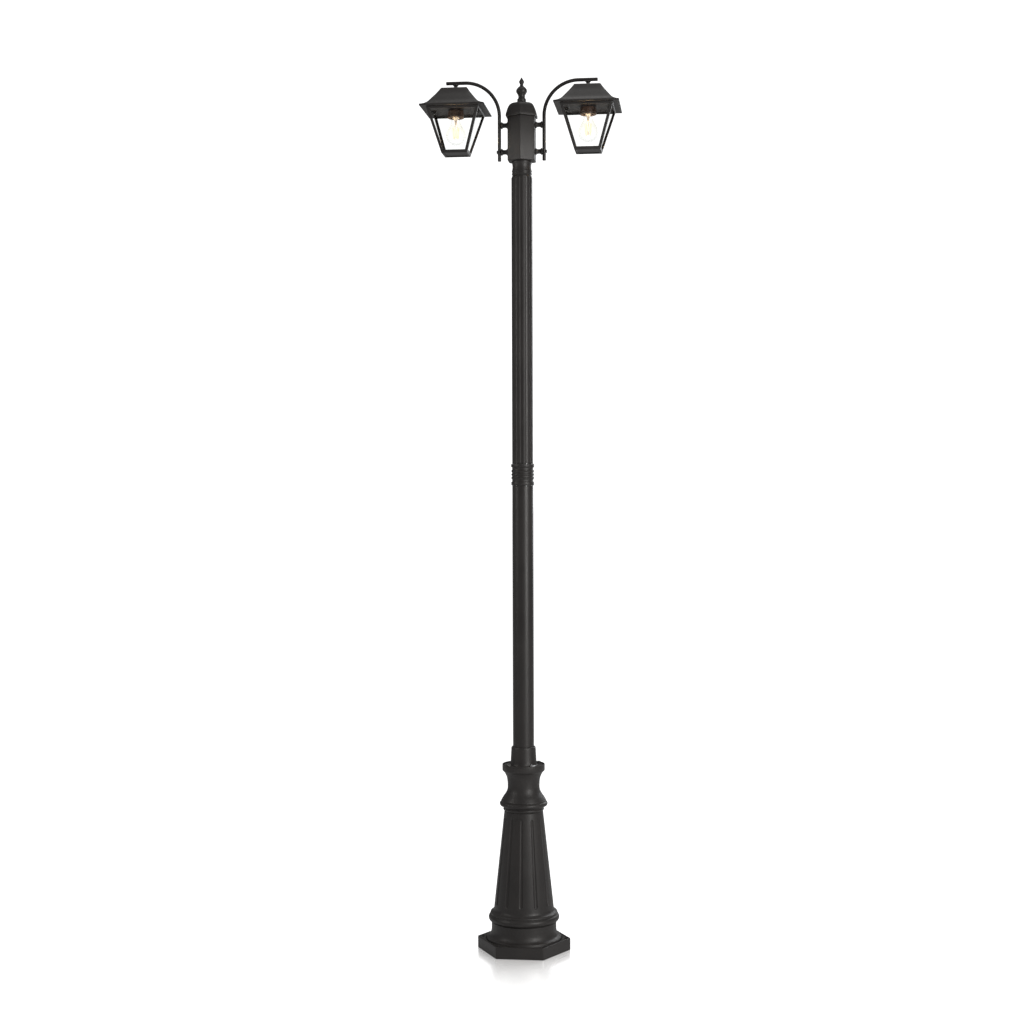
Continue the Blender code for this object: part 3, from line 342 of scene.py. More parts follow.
def smooth(points, steps=6):
    """A Catmull-Rom curve through profile or route points."""
    size = len(points[0])
    points = [Vector(p) for p in points]
    padded = [2 * points[0] - points[1], *points, 2 * points[-1] - points[-2]]
    made = []
    for a, b, c, d in zip(padded, padded[1:], padded[2:], padded[3:]):
        for i in range(steps):
            t = i / steps
            made.append(0.5 * (2 * b + (c - a) * t + (2 * a - 5 * b + 4 * c - d) * t ** 2
                               + (3 * b - a - 3 * c + d) * t ** 3))
    made.append(points[-1])
    return [tuple(p[:size]) for p in made]


def eased(profile, radius, closed=False):
    """A profile with each corner sharper than 25 degrees rounded off, in three steps."""
    steps = 3
    points = [Vector(p) for p in profile]
    count = len(points)
    made = []
    for i, point in enumerate(points):
        if not closed and i in (0, count - 1):
            made.append(tuple(point))
            continue
        back, ahead = points[i - 1] - point, points[(i + 1) % count] - point
        if (back.length < 1e-7 or ahead.length < 1e-7
                or math.pi - back.angle(ahead) < math.radians(25)):
            made.append(tuple(point))
            continue
        reach = min(radius, back.length * 0.45, ahead.length * 0.45)
        start, end = point + back.normalized() * reach, point + ahead.normalized() * reach
        for k in range(steps + 1):
            t = k / steps
            made.append(tuple(start * (1 - t) ** 2 + point * 2 * t * (1 - t) + end * t ** 2))
    return made


def skin(loops, closed=False):
    """A mesh over a stack of loops; a loop of one point closes an end to a pole."""
    mesh = bpy.data.meshes.new("skin")
    work = bmesh.new()
    rings = [[work.verts.new(p) for p in loop] for loop in loops]
    pairs = list(zip(rings, rings[1:]))
    if closed:
        pairs.append((rings[-1], rings[0]))
    for low, high in pairs:
        count = max(len(low), len(high))
        for i in range(count):
            k = (i + 1) % count
            if len(low) == 1:
                work.faces.new((low[0], high[k], high[i]))
            elif len(high) == 1:
                work.faces.new((low[i], low[k], high[0]))
            else:
                work.faces.new((low[i], low[k], high[k], high[i]))
    if not closed:
        for ring in (rings[0], rings[-1]):
            if len(ring) > 1:
                work.faces.new(ring)
    bmesh.ops.recalc_face_normals(work, faces=work.faces)
    work.to_mesh(mesh)
    work.free()
    return mesh


def circle(radius, z, count, turn=0.0):
    if radius < 1e-6:
        return [(0.0, 0.0, z)]
    angles = [turn + math.tau * i / count for i in range(count)]
    return [(radius * math.cos(a), radius * math.sin(a), z) for a in angles]


def lathe(profile, count=96, closed=False, ridge=None):
    """A turned shape. ridge(angle, radius, z) gives the radius where it isn't plainly round."""
    loops = []
    for radius, z in profile:
        loop = circle(radius, z, count)
        if ridge and len(loop) > 1:
            turns = [math.tau * i / count for i in range(count)]
            radii = [ridge(a, radius, z) for a in turns]
            loop = [(r * math.cos(a), r * math.sin(a), z) for a, r in zip(turns, radii)]
        loops.append(loop)
    return skin(loops, closed)


def polygon(half, z, sides, fillet, phase, arc_steps=4, side_steps=3):
    """A loop with flat sides, half away from the axis, and rounded corners."""
    fillet = min(fillet, half)
    centre = (half - fillet) / math.cos(math.pi / sides)
    made = []
    for i in range(sides):
        middle = phase + math.tau * i / sides
        for k in range(arc_steps + 1):
            a = middle + math.pi / sides * (2 * k / arc_steps - 1)
            made.append(Vector((centre * math.cos(middle) + fillet * math.cos(a),
                                centre * math.sin(middle) + fillet * math.sin(a), z)))
        ahead = middle + math.tau / sides
        a = ahead - math.pi / sides
        end = Vector((centre * math.cos(ahead) + fillet * math.cos(a),
                      centre * math.sin(ahead) + fillet * math.sin(a), z))
        start = made[-1].copy()
        made += [start.lerp(end, k / (side_steps + 1)) for k in range(1, side_steps + 1)]
    return [tuple(p) for p in made]


def matching_circle(radius, z, sides, phase, arc_steps=4, side_steps=3):
    """A circle with the same number of points as polygon() gives, in step with it."""
    count = sides * (arc_steps + 1 + side_steps)
    return circle(radius, z, count, phase - math.tau / count * arc_steps / 2)


def rings(shape, rows):
    """Loops from rows of (radius, height) for a circle, or (half width, height, fillet)."""
    return [polygon(row[0], row[1], fillet=row[2], **shape) if len(row) == 3
            else matching_circle(*row, **shape) for row in rows]


def swept(route, radius):
    """A round rod along a route in the XZ plane, with slightly rounded ends."""
    count = 24
    route = [Vector(p) for p in route]
    loops = []
    for i, point in enumerate(route):
        along = (route[min(i + 1, len(route) - 1)] - route[max(i - 1, 0)]).normalized()
        side = Vector((0, 1, 0))
        up = side.cross(along).normalized()
        ends = [(0.0, 1.0)]
        if i == 0:
            ends = [(0.0, 0.8), (0.0004, 0.94), (0.0012, 1.0)]
        if i == len(route) - 1:
            ends = [(-0.0012, 1.0), (-0.0004, 0.94), (0.0, 0.8)]
        for shift, share in ends:
            middle = point + along * shift
            turns = [math.tau * k / count for k in range(count)]
            loops.append([middle + (side * math.cos(a) + up * math.sin(a)) * radius * share
                          for a in turns])
    return skin(loops)


def wire(route, radius, count=8):
    """A thin wire along any route of points."""
    route = [Vector(p) for p in route]
    loops = []
    side = Vector((0, 1, 0))
    for i, point in enumerate(route):
        along = (route[min(i + 1, len(route) - 1)] - route[max(i - 1, 0)]).normalized()
        side = (side - along * side.dot(along))
        if side.length < 1e-4:
            side = along.orthogonal()
        side.normalize()
        up = along.cross(side)
        turns = [math.tau * k / count for k in range(count)]
        loops.append([point + (side * math.cos(a) + up * math.sin(a)) * radius for a in turns])
    return skin(loops)


def joined(meshes):
    """One mesh from several."""
    work = bmesh.new()
    for mesh in meshes:
        work.from_mesh(mesh)
    made = bpy.data.meshes.new("joined")
    work.to_mesh(made)
    work.free()
    return made


def moved(mesh, matrix):
    mesh.transform(matrix)
    return mesh


def cut(mesh, tools):
    """mesh less the tools."""
    obj = bpy.data.objects.new("work", mesh)
    SCENE.collection.objects.link(obj)
    helpers = []
    for tool in tools:
        helper = bpy.data.objects.new("tool", tool)
        SCENE.collection.objects.link(helper)
        helpers.append(helper)
        modifier = obj.modifiers.new("cut", "BOOLEAN")
        modifier.object = helper
        modifier.solver = "EXACT"
    bpy.context.view_layer.update()
    depsgraph = bpy.context.evaluated_depsgraph_get()
    made = bpy.data.meshes.new_from_object(obj.evaluated_get(depsgraph))
    for helper in (obj, *helpers):
        bpy.data.objects.remove(helper)
    return made


def piece(name, mesh, material, body, nodes=(), matrix=None, sharp=32):
    """A finished piece that rides on a body, and stands for CAD nodes where it replaces them."""
    mesh.shade_smooth()
    mesh.set_sharp_from_angle(angle=math.radians(sharp))
    if not mesh.materials:
        mesh.materials.append(material)
    obj = bpy.data.objects.new(name, mesh)
    SCENE.collection.objects.link(obj)
    if matrix is not None:
        obj.matrix_world = matrix
    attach(obj, body)
    if nodes:
        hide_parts(*nodes)
    return obj


def add_bevel(obj, width, segments):
    bevel = obj.modifiers.new("edges", "BEVEL")
    bevel.width = width
    bevel.segments = segments
    bevel.limit_method = "ANGLE"
    bevel.angle_limit = math.radians(32)
    bevel.harden_normals = True


def pole(radius, degrees, z=0.0):
    a = math.radians(degrees)
    return Vector((radius * math.cos(a), radius * math.sin(a), z))


# ---------------------------------------------------------------- pedestal

HEX = math.cos(math.radians(30))
PLINTH = dict(sides=6, phase=0.0, arc_steps=4, side_steps=11)


def build_plinth():
    """Hexagonal plate with a raised rim, the round foot and the hollow below, as one skin."""
    half, top, floor = 0.1337 * HEX, 0.0335, 0.0323
    hexes = [(half - 0.0008, 0.0), (half - 0.0001, 0.0003), (half, 0.001)]
    hexes += arc(half - 0.0022, top - 0.0022, 0.0022, 0, 90, 5)
    hexes += [(half - 0.0044, top), (half - 0.0049, top - 0.0003), (half - 0.0053, floor + 0.0002)]
    hexes += [(half - 0.0059, floor)]
    rounds = [(0.1096, floor), (0.1091, floor - 0.0004), (0.109, floor - 0.0012), (0.1088, 0.0285)]
    rounds += [(0.1073, 0.0284), (0.107, 0.029), (0.107, 0.0366)]
    rounds += smooth([(0.1066, 0.0374), (0.0995, 0.0412), (0.0955, 0.0468), (0.0933, 0.0535),
                      (0.0925, 0.061)], 4)
    rounds += [(0.0925, 0.08), (0.0918, 0.0808), (0.0842, 0.0808), (0.0835, 0.08)]
    rounds += [(0.0835, 0.0668), (0.097, 0.016), (0.097, 0.0008), (0.0978, 0.0)]
    plate = skin(rings(PLINTH, [(h, z, 0.0042) for h, z in hexes] + rounds), closed=True)
    profile = [(0, 0.033), (0.0072, 0.033), (0.005, 0.0305), (0.005, -0.001), (0, -0.001)]
    turn = Matrix.Rotation(math.radians(3), 4, "Z")
    holes = [moved(lathe(profile, 32),
                   Matrix.Translation(pole(0.1185, 60 * i)) @ turn) for i in range(6)]
    piece("plinth", cut(plate, holes), COAT_CAST, "post", ["base_plinth"])


def build_cone():
    """The tapered shaft with its double bead and twelve round-ended flutes."""
    low_z, high_z = 0.137, 0.3755
    foot_z, foot_r, top_z, top_r = 0.12, 0.0853, 0.3965, 0.0553
    pitch = math.tau / 12
    shares = (-1, -0.95, -0.82, -0.62, -0.34, 0, 0.34, 0.62, 0.82, 0.95,
              1)  # of a flute's half width
    ends = (0.2, 0.4, 0.58, 0.74, 0.86, 0.94, 0.985, 1.04)  # steps into a flute's round end
    lands = 7  # columns between two flutes

    def cone_r(z):
        return foot_r + (top_r - foot_r) * (z - foot_z) / (top_z - foot_z)

    def flute(z):
        """Cutter radius, depth and half width of a flute at a height."""
        t = min(max((z - low_z) / (high_z - low_z), 0), 1)
        r, d = 0.0075 + (0.005 - 0.0075) * t, 0.003 + (0.002 - 0.003) * t
        return r, d, math.sqrt(r * r - (r - d) ** 2)

    def round_end(z, way):
        width = flute(z)[2]
        return [(z + way * t * width, max(math.sqrt(max(1 - t * t, 0)), 0.18), t) for t in ends]

    def ring(radius, z, squeeze=1.0, beyond=None):
        """A loop whose columns keep to the flutes' edges; beyond is 0 to 1 past a flute's end."""
        r, d, w = flute(z)
        spread = w * squeeze / radius
        loop = []
        for i in range(12):
            middle = i * pitch
            for s in shares:
                dip = 0.0
                if beyond is not None and beyond <= 1:
                    away = (s * w * squeeze) ** 2 + (beyond * w) ** 2
                    dip = max(math.sqrt(max(r * r - away, 0)) - (r - d), 0)
                a = middle + s * spread
                loop.append(((radius - dip) * math.cos(a), (radius - dip) * math.sin(a), z))
            for k in range(1, lands):
                a = middle + spread + (pitch - 2 * spread) * k / lands
                loop.append((radius * math.cos(a), radius * math.sin(a), z))
        return loop

    base = [(0.0835, 0.0818), (0.0841, 0.0811), (0.0921, 0.0811)]
    base += arc(0.09, 0.0925, 0.011, -72, 56, 18)
    base += arc(0.092, 0.1052, 0.0042, -36, 64, 10)
    base += [(0.0908, 0.1104), (0.089, 0.1122), (0.0874, 0.114), (0.0862, 0.116), (0.0853, 0.12)]
    loops = [ring(r, z) for r, z in base]
    rows = [(0.1235, 1.0, None), (low_z - 0.0085, 0.45, None)]
    rows += reversed(round_end(low_z, -1))
    rows += [(low_z + (high_z - low_z) * i / 8, 1.0, 0.0) for i in range(9)]
    rows += round_end(high_z, 1)
    rows += [(high_z + 0.0065, 0.45, None), (high_z + 0.011, 1.0, None),
             (top_z - 0.0008, 1.0, None)]
    loops += [ring(cone_r(z), z, squeeze, beyond) for z, squeeze, beyond in rows]
    loops += [ring(top_r - 0.0007, top_z), ring(0.0505, top_z), ring(0.0803, foot_z)]
    mesh = skin(loops, closed=True)
    piece("cone", mesh, COAT_CAST, "post", ["pedestal_cone"], sharp=28)


def turned(name, profile, node, material=COAT_CAST):
    """A closed turned shape on the post."""
    piece(name, lathe(profile, 96, closed=True), material, "post", [node])


def build_neck():
    profile = [(0.0582, 0.523), (0.0582, 0.5294), (0.0588, 0.53),
               *arc(0.0594, 0.5288, 0.0012, 90, 0, 5)]
    profile += [(0.0606, 0.5128), (0.0602, 0.5119)]
    profile += smooth([(0.0594, 0.5112), (0.057, 0.5086), (0.054, 0.5052), (0.0485, 0.494),
                       (0.0462, 0.482),
                       (0.0455, 0.468), (0.0462, 0.459), (0.0488, 0.4514), (0.053, 0.444),
                       (0.0575, 0.4378), (0.064, 0.427)], 5)
    profile += [(0.0644, 0.4261), (0.0643, 0.425), (0.0635, 0.424)]
    profile += arc(0.0613, 0.417, 0.007, 60, -62, 14)
    profile += [(0.063, 0.4101), (0.06, 0.4092), (0.0586, 0.4078), (0.057, 0.4064)]
    profile += arc(0.054, 0.402, 0.0042, 52, -58, 8)
    profile += [(0.0556, 0.3976), (0.055, 0.3968), (0.0505, 0.3968)]
    profile += [(0.052, 0.42), (0.0385, 0.465), (0.0385, 0.495), (0.02, 0.508), (0.02, 0.523)]
    turned("neck", eased(profile, 0.0005, closed=True), "pedestal_neck")


def build_socket():
    low, flange_top, top = 0.5233, 0.5273, 0.58
    profile = [(0.0303, top), (0.0322, top), (0.0334, top - 0.0007), (0.0342, top - 0.0019)]
    profile += [(0.0347, top - 0.0036), (0.035, top - 0.008), (0.0367, flange_top + 0.012)]
    profile += [(0.0374, flange_top + 0.007), (0.0381, flange_top + 0.0032), (0.0398, flange_top)]
    profile += [(0.0565, flange_top), (0.0575, flange_top - 0.001), (0.0575, low)]
    profile += [(0.02, low), (0.02, flange_top), (0.0303, flange_top)]
    turned("socket", eased(profile, 0.0005, closed=True), "post_socket")


def hex_bolt_mesh(corner, height, shank, depth):
    """A hexagon head, chamfered on top with a washer face below, on its shank."""
    half = corner * HEX
    shape = dict(sides=6, phase=0.0, arc_steps=2, side_steps=5)
    rows = [(shank * 0.8, -depth), (shank, -depth + 0.0008), (shank, 0), (half * 0.97, 0)]
    rows += [(half * 0.99, 0.0005), (half, 0.0006, 0.0003), (half, height - 0.0011, 0.0003)]
    rows += [(half * 0.985, height - 0.0005, half * 0.3), (half * 0.93, height, half * 0.93)]
    rows += [(half * 0.6, height), (half * 0.56, height - 0.0004)]
    return skin([*rings(shape, rows), [(0.0, 0.0, height - 0.0004)]])


def build_bolts():
    mesh = hex_bolt_mesh(0.0073, 0.005, 0.004, 0.018)
    for side, angle, turn in (("front_right", -52, 12), ("front_left", -142, 37),
                              ("rear_right", 38, 50),
                              ("rear_left", 128, 21)):
        place = Matrix.Translation(pole(0.05, angle, 0.5276)) @ Matrix.Rotation(math.radians(turn),
                                                                                4, "Z")
        bolt = mesh.copy()
        # Only the front right bolt gets the bright zinc; the darkened copy on the others is painted
        # shade.
        lit_or_shaded_zinc = ZINC if side == "front_right" else SHADED_ZINC
        piece(f"bolt_{side}", bolt, lit_or_shaded_zinc, "post", [f"socket_bolt_{side}"], place,
              24)


# ---------------------------------------------------------------- pole

def build_lower_tube():
    low, high = 0.5276, 1.3257
    rows = [(0.03, low + (high - low) * i / 6) for i in range(1, 6)]
    profile = [(0.0275, low), (0.0295, low), (0.03, low + 0.0006), *rows]
    profile += [(0.03, high - 0.0006), (0.0295, high), (0.0275, high)]
    turned("tube_lower", profile, "lower_tube", COAT_TUBE)


def build_joint_collar():
    low, high = 1.326, 1.387
    profile = [(0.0275, high), (0.0318, high), (0.0327, high - 0.0007), (0.0331, high - 0.002)]
    profile += [(0.0331, high - 0.0078), (0.0327, high - 0.0088), (0.0306, high - 0.0098)]
    profile += [(0.0302, high - 0.0106), (0.0302, high - 0.0158)]
    for i in range(3):
        profile += arc(0.029, high - 0.0205 - 0.0098 * i, 0.0036, 64, -64, 10)
    profile += [(0.0302, low + 0.0148), (0.0302, low + 0.0114), (0.0306, low + 0.0104)]
    profile += [(0.0323, low + 0.0096), (0.0327, low + 0.0088), (0.0327, low + 0.0018)]
    profile += [(0.0323, low + 0.0006), (0.0316, low), (0.0275, low)]
    turned("collar_joint", profile, "joint_collar")


def build_upper_tube():
    """Twelve shallow flutes along the whole tube."""
    low, high, radius = 1.3873, 2.202, 0.03

    def outline(z, inset):
        loop = []
        for i in range(12):
            middle = -90 + 30 * i
            for k in range(9):
                share = k / 4 - 1
                loop.append(pole(radius - inset - 0.0013 * (1 - share * share), middle + 9 * share,
                                 z))
            loop += [pole(radius - inset, middle + 9 + 12 * k / 4, z) for k in range(1, 4)]
        return loop

    heights = [low + 0.0006 + (high - low - 0.0012) * i / 6 for i in range(7)]
    loops = [circle(0.0275, low, 144, math.radians(-99)), outline(low, 0.0005)]
    loops += [outline(z, 0.0) for z in heights]
    loops += [outline(high, 0.0005), circle(0.0275, high, 144, math.radians(-99))]
    mesh = skin(loops, closed=True)
    piece("tube_upper", mesh, COAT_TUBE, "post", ["upper_tube"], sharp=14)


# ---------------------------------------------------------------- head

def build_top_collar():
    low, high = 2.2023, 2.2477
    profile = [(0.012, high), (0.028, high), (0.0285, high - 0.0005), (0.0285, high - 0.004)]
    profile += smooth([(0.0284, high - 0.0048), (0.0274, high - 0.008), (0.0267, high - 0.015),
                       (0.0272, high - 0.0215)], 5)
    for z in (low + 0.018, low + 0.01):
        profile += arc(0.0265, z, 0.0025, 64, -64, 8)
    profile += [(0.0268, low + 0.0062), (0.0276, low + 0.004), (0.0285, low + 0.002)]
    profile += [(0.0285, low + 0.0004), (0.0281, low), (0.0272, low), (0.0272, low - 0.029)]
    profile += [(0.0264, low - 0.03), (0.012, low - 0.03)]
    turned("collar_top", profile, "top_collar")


HEAD = dict(sides=6, phase=math.pi / 2, arc_steps=4, side_steps=3)


def build_head():
    """Hexagonal box with rounded corners, open at the top under its cap."""
    low, high = 2.248, 2.3733
    half, inner = 0.0445 * HEX, 0.041 * HEX
    rows = [(half - 0.002, low), *arc(half - 0.0022, low + 0.0022, 0.0022, -75, 0, 4)]
    rows += [(half, high - 0.001), (half - 0.0003, high - 0.0003), (half - 0.0009, high)]
    rows += [(inner + 0.0004, high), (inner, high - 0.0005), (inner, low + 0.004)]
    rows = [(0.012, low), *[(h, z, 0.0018) for h, z in rows], (0.012, low + 0.004)]
    piece("head_box", skin(rings(HEAD, rows), closed=True), COAT_CAST, "post",
          ["head_body"])


def build_cap():
    """Hexagonal dome: flat rim, rounded shoulder and a nearly round crown."""
    bottom, top = 2.3736, 2.4135
    crown = smooth([(0.013, top), (0.024, 2.4134), (0.0305, 2.413), (0.0366, 2.4095),
                    (0.041, 2.404),
                    (0.0445, 2.3965), (0.047, 2.389), (0.0488, 2.3832)], 4)
    rows = [(r, min(z, top), 0.0022 + 0.01 * max(0.0, (z - 2.383) / 0.03) ** 2) for r, z in crown]
    rows += [(0.0494, 2.3812, 0.002), (0.05, 2.3795, 0.0018), (0.05, bottom + 0.0006, 0.0018)]
    rows += [(0.0494, bottom, 0.0018), (0.0404, bottom, 0.0015), (0.0404, bottom - 0.0046, 0.0015)]
    rows += [(0.0399, bottom - 0.005, 0.0015), (0.0384, bottom - 0.005, 0.0015)]
    rows += [(0.0384, 2.385, 0.0015), (0.0384, 2.39, 0.0015), (0.034, 2.406, 0.003)]
    rows += [(0.0275, 2.41, 0.006)]
    loops = rings(HEAD, [(r * HEX, z, f) for r, z, f in rows])
    loops = [[(0.0, 0.0, top)], *loops, [(0.0, 0.0, top - 0.003)]]
    piece("cap_dome", skin(loops), COAT_CAST, "head_cap", ["head_cap"])


def build_finial():
    profile = smooth([(0, 2.488), (0.0016, 2.4855), (0.005, 2.48), (0.0079, 2.4748)], 6)
    profile += smooth([(0.0076, 2.4741), (0.005, 2.4685), (0.0049, 2.465), (0.006, 2.4622)], 5)
    profile += smooth([(0.0114, 2.4576), (0.0149, 2.4525), (0.0157, 2.4485), (0.0148, 2.4445),
                       (0.012, 2.44), (0.0098, 2.4352), (0.0095, 2.4315), (0.01, 2.4278)], 5)
    profile += [(0.0118, 2.4262), *arc(0.0112, 2.4246, 0.0014, 60, -20, 4)]
    profile += [(0.0126, 2.4225), (0.0126, 2.4144), (0.0121, 2.4138), (0.003, 2.4138)]
    profile += [(0.003, 2.4016), (0.0024, 2.401), (0, 2.401)]
    piece("finial_turned", lathe(profile, 64), COAT_CAST, "head_cap", ["finial"],
          sharp=30)


def build_nut():
    """A chamfered hexagon nut."""
    top, height, half = 2.4102, 0.005, 0.0058 * HEX
    shape = dict(sides=6, phase=0.0, arc_steps=2, side_steps=5)
    rows = [(half * 0.93, top - height, half), (half, top - height + 0.0006, 0.0003)]
    rows += [(half, top - 0.0006, 0.0003), (half * 0.93, top, half)]
    rows = [(0.0033, top - height + 0.0003), *rows, (0.0033, top - 0.0003)]
    piece("nut", skin(rings(shape, rows), closed=True), ZINC, "head_cap",
          ["finial_nut"], sharp=24)


def rounded_block(low, high, fillet):
    """A block with rounded upright corners and eased edges."""
    low, high = Vector(low), Vector(high)
    middle, size = (low + high) / 2, high - low
    half = min(size.x, size.y) / 2
    stretch = Matrix.Diagonal((size.x / 2 / half, size.y / 2 / half, 1, 1))
    rows = [(half - 0.0004, -size.z / 2), (half, -size.z / 2 + 0.0004)]
    rows += [(half, size.z / 2 - 0.0004), (half - 0.0004, size.z / 2)]
    loops = [polygon(h, z, 4, fillet, math.pi / 4, 4, 1) for h, z in rows]
    return moved(skin(loops), Matrix.Translation(middle) @ stretch)


def build_terminal_strip():
    """Three insulated terminals on a web, with sunk screws and clamp tubes."""
    z0, z1 = 2.304, 2.32
    bodies = [rounded_block((-0.006, -0.0325, z0 + 0.0004), (0.006, 0.0325, z0 + 0.0045), 0.001)]
    metal = []
    collar = [(0.0036, 0), (0.0036, 0.005), (0.0031, 0.0054), (0.0025, 0.0054), (0.0025, 0)]
    screw = [(0, 0), (0.0023, 0), (0.0023, 0.003), (0.0019, 0.0034), (0, 0.0034)]
    for y in (-0.022, 0.0, 0.022):
        bodies.append(rounded_block((-0.0085, y - 0.0085, z0), (0.0085, y + 0.0085, z1 - 0.003),
                                    0.0018))
        for x in (-0.0042, 0.0042):
            seat = Matrix.Translation((x, y, z1 - 0.0054))
            bodies.append(moved(lathe(collar, 32, closed=True), seat))
            slot = skin([[(-0.003, -0.0004, z), (0.003, -0.0004, z), (0.003, 0.0004, z),
                          (-0.003, 0.0004, z)] for z in (0.0024, 0.004)])
            seat = Matrix.Translation((x, y, z1 - 0.0052))
            metal.append(moved(cut(lathe(screw, 24), [slot]), seat))
    piece("terminals", joined(bodies), STRIP, "post", ["terminal_strip"])
    piece("terminal_screws", joined(metal), ZINC, "post")


# ---------------------------------------------------------------- arms

def arm_route():
    """Up beside the head, round a quarter bend and out level over the lantern."""
    bar_x, bend_r, top, steps = 0.064, 0.0985, 2.476, 30
    route = [(bar_x, 0, z) for z in (2.25, 2.29, 2.34)]
    for i in range(steps + 1):
        a = math.radians(180 - 90 * i / steps)
        route.append((bar_x + bend_r + bend_r * math.cos(a), 0,
                      top - bend_r + bend_r * math.sin(a)))
    return [*route, (0.19, 0, top), (0.217, 0, top)]


def build_arm_pieces():
    """The shared meshes of one arm: rod, spacer and screw."""
    low, high = 0.0445 * HEX + 0.0003, 0.0587
    spacer = [(0.003, high), (0.009, high), (0.0095, high - 0.0005), (0.0095, high - 0.0028)]
    spacer += smooth([(0.0092, high - 0.0034), (0.0072, high - 0.005), (0.0065, (low + high) / 2),
                      (0.0072, low + 0.005), (0.0092, low + 0.0034)], 4)
    spacer += [(0.0095, low + 0.0028), (0.0095, low + 0.0005), (0.009, low), (0.003, low)]
    seat, tip = 0.0693, 0.0445 * HEX - 0.007
    shape = dict(sides=6, phase=0.3, arc_steps=2, side_steps=5)
    dome = [(0.0046, seat), (0.0046, seat + 0.0009), *arc(0.003, seat + 0.001, 0.0018, 25, 88, 5)]
    rows = [(0.0019, tip), (0.0025, tip + 0.0007), (0.0025, seat)]
    rows += [(min(r, 0.0046), min(z, seat + 0.0028)) for r, z in dome]
    rows += [(0.0016, seat + 0.0028, 0.0001), (0.0015, seat + 0.001, 0.0001)]
    screw = skin([*rings(shape, rows), [(0.0, 0.0, seat + 0.0008)]])
    return swept(arm_route(), 0.005), lathe(spacer, 64, closed=True), screw


def build_arms():
    rod, spacer, screw = build_arm_pieces()
    lying = Matrix.Rotation(math.radians(90), 4, "Y")
    for side, sign in (("left", -1), ("right", 1)):
        turn = Matrix.Rotation(0 if sign > 0 else math.pi, 4, "Z")
        piece(f"{side}_arm_rod", rod, COAT_TUBE, "post", [f"{side}_arm"], turn)
        for name, z in (("upper", 2.352), ("lower", 2.276)):
            place = turn @ Matrix.Translation((0, 0, z)) @ lying
            piece(f"{side}_spacer_{name}", spacer, COAT_CAST, "post",
                  [f"{side}_{name}_spacer"], place)
        place = turn @ Matrix.Translation((0, 0, 2.276)) @ lying
        # The darkened zinc copy here is painted shade, so the screw head shows no glint.
        piece(f"{side}_screw", screw, SHADED_ZINC, "post", [f"{side}_arm_screw"], place,
              28)


# ---------------------------------------------------------------- lanterns

SQUARE = dict(sides=4, phase=math.pi / 4, arc_steps=4, side_steps=5)


def stem_mesh():
    top, seat = 2.4722, 2.4573
    profile = [(0.0025, top), (0.0076, top), (0.008, top - 0.0004), (0.008, top - 0.0018)]
    profile += smooth([(0.0077, top - 0.0024), (0.0057, top - 0.0046), (0.005, (top + seat) / 2),
                       (0.0057, seat + 0.0046), (0.0077, seat + 0.0024)], 5)
    profile += [(0.008, seat + 0.0018), (0.008, seat + 0.0004), (0.0076, seat), (0.005, seat)]
    z = seat - 0.001
    while z > 2.431:
        profile += [(0.005, z), (0.0046, z - 0.0005)]
        z -= 0.001
    profile += [(0.0048, 2.43), (0.0025, 2.4295)]
    return lathe(profile, 48, closed=True)


def roof_mesh():
    """The hipped roof: crisp hips, a slope that sweeps out to the eaves, and a turned-down lip."""
    top = 2.457
    slope = smooth([(0.0373, 2.4562), (0.048, 2.4405), (0.059, 2.4265), (0.07, 2.413),
                    (0.078, 2.4068),
                    (0.086, 2.4031), (0.0912, 2.4014)], 5)
    rows = [(0.02, top, 0.02), (0.0358, top, 0.0018), (0.0367, top - 0.0002, 0.0018)]
    rows += [(h, z, 0.0016) for h, z in slope]
    rows += [(0.0918, 2.401, 0.0016), (0.092, 2.4004, 0.0016), (0.092, 2.3979, 0.0016)]
    rows += [(0.0917, 2.3975, 0.0016), (0.0903, 2.3975, 0.0012), (0.09, 2.3979, 0.0012)]
    rows += [(0.09, 2.3992, 0.0012)]
    inner = [(h - 0.002, z - 0.002) for h, z in reversed(slope[:-6])]
    rows += [(h, z, 0.0012) for h, z in inner]
    rows += [(0.032, top - 0.002, 0.0012), (0.02, top - 0.002, 0.02)]
    rows = [(0.0053, top), *rows, (0.0053, top - 0.002)]
    return skin(rings(SQUARE, rows), closed=True)


def ceiling_mesh():
    """A pressed plate with a shallow raised panel round the lamp holder."""
    low, high, lift = 2.3973, 2.3988, 0.0008
    rows = [(0.0183, low + lift), (0.026, low + lift), (0.0518, low + lift, 0.006),
            (0.053, low, 0.006)]
    rows += [(0.0893, low, 0.0012), (0.0897, low + 0.0004, 0.0012), (0.0897, high - 0.0004, 0.0012)]
    rows += [(0.0893, high, 0.0012), (0.0535, high, 0.006), (0.026, high), (0.0183, high)]
    return skin(rings(SQUARE, rows), closed=True)


def holder_mesh():
    """A skirted lamp holder with fine upright grips."""
    profile = [(0.0053, 2.438), (0.0115, 2.438), (0.0125, 2.4375), (0.0178, 2.4262), (0.018, 2.425)]
    profile += [(0.018, 2.397), (0.0214, 2.397), (0.0217, 2.3962), (0.0219, 2.3945)]
    profile += [(0.0222, 2.393), (0.0224, 2.386), (0.0222, 2.3846), (0.0229, 2.3834),
                (0.0232, 2.3822)]
    profile += [(0.0232, 2.3812), (0.0142, 2.3812), (0.0142, 2.404), (0.002, 2.404)]
    profile += [(0.002, 2.4292), (0.0053, 2.4292)]

    def grips(angle, radius, z):
        if 2.3858 < z < 2.3932 and radius > 0.02:
            return radius - 0.0005 * (0.5 - 0.5 * math.cos(36 * angle)) ** 2
        return radius

    return lathe(profile, 216, closed=True, ridge=grips)


